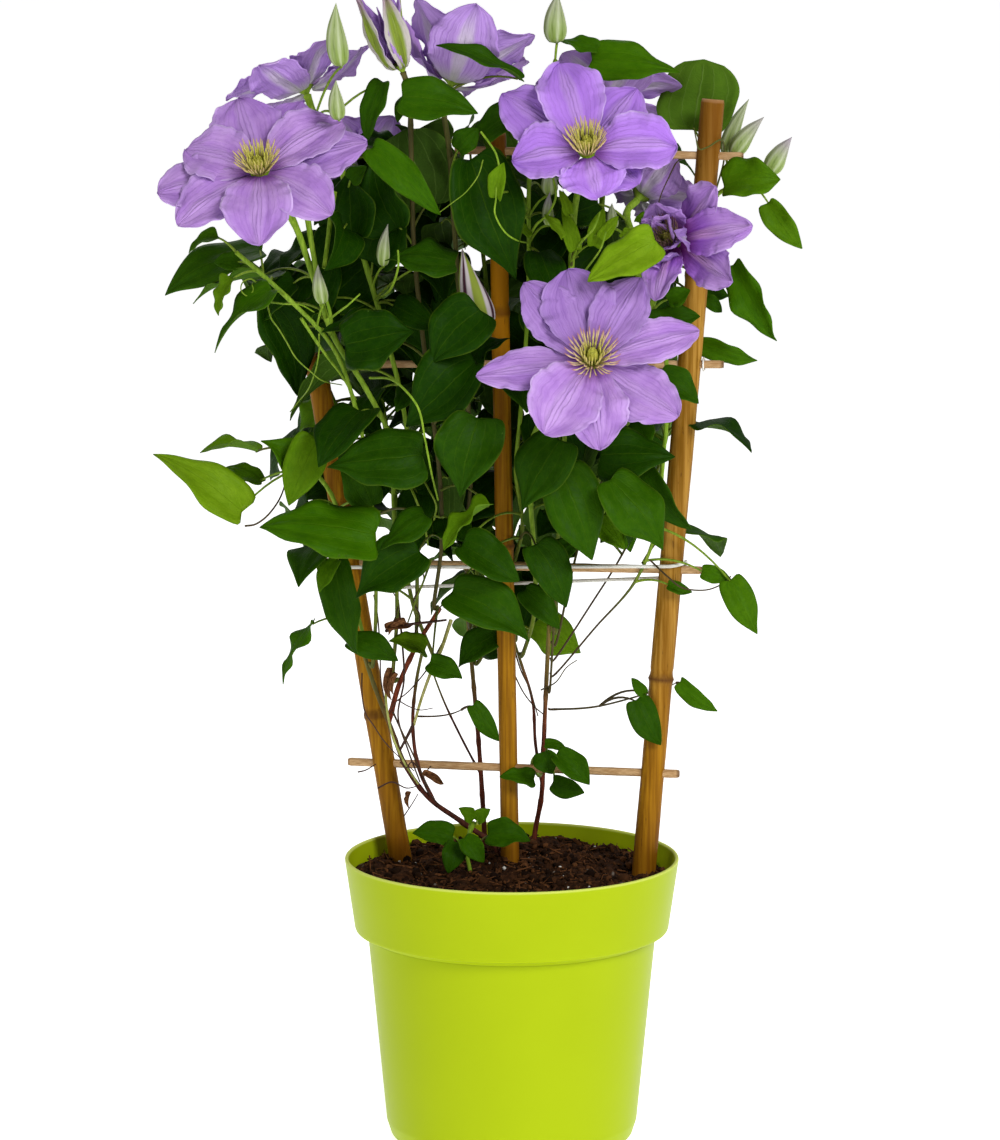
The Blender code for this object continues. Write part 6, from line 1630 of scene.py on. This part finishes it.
def makeWoody(name):  # each line is a tapered bar with swollen nodes and peeling, ridged bark
    heap = Heap()
    radius = woody[name]["radius"]
    for order, points in enumerate(woodyWays[name]):
        line = splined(points, 16)
        share = np.linspace(0, 1, len(line))
        angle = fullTurn(barkShape["sides"])
        dark = woody[name]["dark"][order]
        size = radius * (branchShare if order else 1.0) * (1 - barkShape["thinner"] * dark)
        run = runOf(line)
        node = bell((run / barkShape["apart"] + 0.3 * order) % 1.0, 0.5, 0.06)
        rough = 0.07 * np.sin(5 * angle + run[:, None] / 26) + 0.05 * np.sin(9 * angle - run[:, None] / 17)
        swell = (barkShape["swell"] * node + 0.05 * ripple(line, 11, 6))[:, None]
        radii = size * (1 - taper * share)[:, None] * (0.97 + swell + rough)
        places, quads, fans = pipe(line, radii, barkShape["sides"])
        green = smoothStep(0.55, 1.0, share) * woody[name]["green"][order]
        heap.add(places, quads, fans, green=byRing(green, barkShape["sides"]), dark=dark)
    return heap.build(name.replace("woody", "stem"), [bark], [name], "bark")


for name in woody:
    makeWoody(name)
print("woody stems made")


# Pot and soil

pot = dict(height=180.0, rim=105.0, collarFoot=(98.7, 135.3), shoulder=(90.3, 127.0), bodyFoot=(79.2, 11.7),
           base=73.5, wall=2.5, sides=180, round=1.1)
soil = dict(top=169.0, gap=0.3, rings=84, sides=190, crumbs=2300, perlite=16, fibres=420)


def stepInside(corner):
    return corner[0] - pot["wall"], corner[1] + pot["wall"] * math.tan(math.pi / 8)


def wallRadius(height):
    low, high = stepInside(pot["collarFoot"]), (pot["rim"] - pot["wall"], pot["height"] - 1.0)
    return low[0] + (height - low[1]) * (high[0] - low[0]) / (high[1] - low[1])


def makePot():  # one turned profile, up the inside and down the outside, its corners eased
    wall, rim, tall, base = pot["wall"], pot["rim"], pot["height"], pot["base"]
    foot, (collar, step), shoulder = pot["bodyFoot"], pot["collarFoot"], pot["shoulder"][0]
    profile = [(0, wall), (base - 1, wall), (foot[0] - wall, foot[1]), stepInside(pot["shoulder"]),
               stepInside(pot["collarFoot"]), (rim - wall - 0.2, tall - 2.6), (rim - wall, tall - 1.0),
               (rim - wall + 0.7, tall), (rim - 0.6, tall), (rim, tall - 0.9), (rim - 0.24, tall - 2.6),
               (collar + 0.1, step + 0.6), (collar - 0.5, step - 1.0), (shoulder + 1.9, step - 2.6),
               (shoulder + 0.9, step - 1.4), (shoulder + 0.3, step - 3.4), (shoulder + 0.2, step - 5.4), foot,
               (base + 3, 3.2), (base, 0), (0, 0)]
    places, quads, fans = turnedShape(rounded(profile, pot["round"]), pot["sides"])
    radius, height = np.hypot(places[:, 0], places[:, 1]), places[:, 2]
    # Painted shade: a dark band just under the collar's overhang.
    seam = smoothStep(-5.4, -3.5, height - step) * smoothStep(0.6, 0, height - step) * (radius < shoulder + 3)
    # The top of the rim gets a painted highlight.
    heap = Heap().add(places, quads, fans, lip=smoothStep(tall - 1.7, tall - 0.5, height), seam=seam)
    return heap.build("planter", [plastic], ["pot"], "pot")


def soilHeight(x, y):  # a low mound round the stems, a dip at the right cane, and lumps, as in the solid
    mound = 6.0 * np.exp(-((x - 12) ** 2 + (y - 52) ** 2) / 42**2)
    dip = -3.0 * np.exp(-((x - 84) ** 2 + (y - 4) ** 2) / 26**2)
    lumps = 1.5 * np.sin(x / 13 + 0.7) * np.cos(y / 11) + 1.1 * np.sin(x / 6.5 - y / 8)
    return soil["top"] + mound + dip + lumps


def crumbShapes(places, sizes, rng):  # twelve-cornered lumps, each squashed and turned its own way
    g = (1 + 5**0.5) / 2
    corners = np.array([(-1, g, 0), (1, g, 0), (-1, -g, 0), (1, -g, 0), (0, -1, g), (0, 1, g), (0, -1, -g),
                        (0, 1, -g), (g, 0, -1), (g, 0, 1), (-g, 0, -1), (-g, 0, 1)]) / 1.9
    faces = np.array([(0, 11, 5), (0, 5, 1), (0, 1, 7), (0, 7, 10), (0, 10, 11), (1, 5, 9), (5, 11, 4),
                      (11, 10, 2), (10, 7, 6), (7, 1, 8), (3, 9, 4), (3, 4, 2), (3, 2, 6), (3, 6, 8),
                      (3, 8, 9), (4, 9, 5), (2, 4, 11), (6, 2, 10), (8, 6, 7), (9, 8, 1)])
    count = len(places)
    squash = rng.uniform(0.45, 1.25, (count, 1, 3))
    lumps = corners * squash * rng.uniform(0.8, 1.2, (count, 12, 1))
    turn, _ = np.linalg.qr(rng.normal(size=(count, 3, 3)))
    lumps = np.einsum("nij,nkj->nki", turn * np.sign(np.linalg.det(turn))[:, None, None], lumps)
    lumps = places[:, None] + lumps * sizes[:, None, None]
    return lumps.reshape(-1, 3), (faces + 12 * np.arange(count)[:, None, None]).reshape(-1, 3)


def makeSoil():
    rng = np.random.default_rng(7)
    heap = Heap()
    edge = wallRadius(soil["top"]) - 2 * soil["gap"]
    radius = edge * np.linspace(0.004, 1, soil["rings"])
    angle = fullTurn(soil["sides"])
    x, y = radius[:, None] * np.cos(angle), radius[:, None] * np.sin(angle)
    flat = np.stack([x, y, np.zeros_like(x)], -1)
    rough = 1.5 * ripple(flat, 12, 1) + 1.0 * ripple(flat, 5.5, 2) + 0.7 * ripple(flat, 2.8, 3)
    ease = 1 - smoothStep(0.94, 1.0, radius / edge)[:, None]
    z = soilHeight(x, y) + rough * ease - 1.5 * (1 - ease)
    collar, shoulder = stepInside(pot["collarFoot"]), stepInside(pot["shoulder"])
    wall = pot["wall"] + soil["gap"]
    side = [(collar[0] - 0.3, collar[1]), (shoulder[0] - 0.3, shoulder[1]), (pot["bodyFoot"][0] - wall, 11.8),
            (pot["base"] - 1.3, wall)]
    lower = [np.column_stack([r * np.cos(angle), r * np.sin(angle), np.full(len(angle), h)]) for r, h in side]
    rings = np.concatenate([np.stack([x, y, z], -1), lower])
    places = np.vstack([rings.reshape(-1, 3), [[0, 0, z[0].mean()], [0, 0, wall]]])
    dust = np.clip(ripple(places, 4, 9) * 3 - 3.6, 0, 0.4) * (rng.random(len(places)) > 0.6)
    heap.add(places, ringQuads(len(rings), soil["sides"]), capFaces(len(rings), soil["sides"]), dust=dust)

    def scattered(count, inner=0.0):
        spread = (edge - 4) * np.sqrt(rng.uniform(inner, 1, count))
        turn = rng.uniform(0, 2 * math.pi, count)
        x, y = spread * np.cos(turn), spread * np.sin(turn)
        return np.column_stack([x, y, soilHeight(x, y) + rng.uniform(-0.2, 1.4, count)])
    sizes = 0.55 + rng.gamma(1.3, 0.62, soil["crumbs"]).clip(0, 3.6)
    lumps, faces = crumbShapes(scattered(soil["crumbs"]), sizes, rng)
    noQuads = np.empty((0, 4), int)
    heap.add(lumps, noQuads, faces, finish=1, tone=np.repeat(rng.random(soil["crumbs"]) ** 2.6, 12))
    grains = scattered(soil["perlite"]) + up * 0.8
    lumps, faces = crumbShapes(grains, rng.uniform(0.7, 1.6, soil["perlite"]), rng)
    heap.add(lumps, noQuads, faces, finish=1, pale=0.9)
    for place in scattered(soil["fibres"]):
        way = unit(rng.normal(size=3) * (1, 1, 0.25)) * rng.uniform(3, 14)
        bend = np.cross(way, up) * rng.uniform(-0.25, 0.25)
        share = np.linspace(-0.5, 0.5, 5)[:, None]
        line = place + up * 0.7 + way * share + bend * (0.25 - share**2)
        line[:, :2] *= np.minimum(1, (edge - 1) / np.linalg.norm(line[:, :2], axis=1))[:, None]
        heap.add(*pipe(line, rng.uniform(0.18, 0.6), 5), finish=1, tone=rng.uniform(0.5, 1.6))
    return heap.build("earth", [soilSkin, crumb], ["soil"], "soil")


makePot()
makeSoil()
print("pot and soil made")


# Stage, light and camera

stage = dict(floor=400.0, glow=0.78, sky=0.25, exposure=0.0)
lamps = {  # place and aim in metres, size, power in watts
    "key": ((1.7, -2.7, 2.2), (0.0, 0.0, 0.45), 1.3, 84),
    "fill": ((-2.6, -2.0, 1.6), (0.0, 0.0, 0.40), 2.0, 15),
    "rim": ((-0.6, 2.2, 2.6), (0.0, 0.0, 0.50), 1.6, 26),
}


def makeFloor():
    half = stage["floor"] / 2
    mesh = bpy.data.meshes.new("floor")
    corners = [(-half, -half, 0), (half, -half, 0), (half, half, 0), (-half, half, 0)]
    mesh.from_pydata(corners, [], [(0, 1, 2, 3)])
    floor = placed("floor", mesh)
    f = Finish("paleFloor", 0.1, Roughness=0.9, Base_Color=(0.93, 0.93, 0.93, 1), Emission_Color=(1, 1, 1, 1),
               Emission_Strength=stage["glow"])
    mesh.materials.append(f.made)


def makeLights():
    world = bpy.data.worlds.new("softWhite")
    world.use_nodes = True
    sky = world.node_tree.nodes["Background"].inputs
    sky["Color"].default_value, sky["Strength"].default_value = (1, 1, 1, 1), stage["sky"]
    bpy.context.scene.world = world
    for name, (place, aim, size, power) in lamps.items():
        data = bpy.data.lights.new(name, "AREA")
        data.size, data.energy = size, power
        lamp = placed(name, data)
        lamp.location = place
        lamp.rotation_euler = (Vector(aim) - Vector(place)).to_track_quat("-Z", "Y").to_euler()


def makeCamera():
    camera = placed("camera", bpy.data.cameras.new("camera"))
    camera.location = eye * mm
    camera.rotation_euler = (math.radians(90 - viewFrom["pitch"]), 0, 0)
    camera.data.sensor_width = 36
    camera.data.lens = viewFrom["focus"] / viewFrom["tall"] * camera.data.sensor_width
    bpy.context.scene.camera = camera


makeFloor()
makeLights()
makeCamera()
bpy.context.scene.view_settings.view_transform = "Standard"
bpy.context.scene.view_settings.exposure = stage["exposure"]
print("stage set")
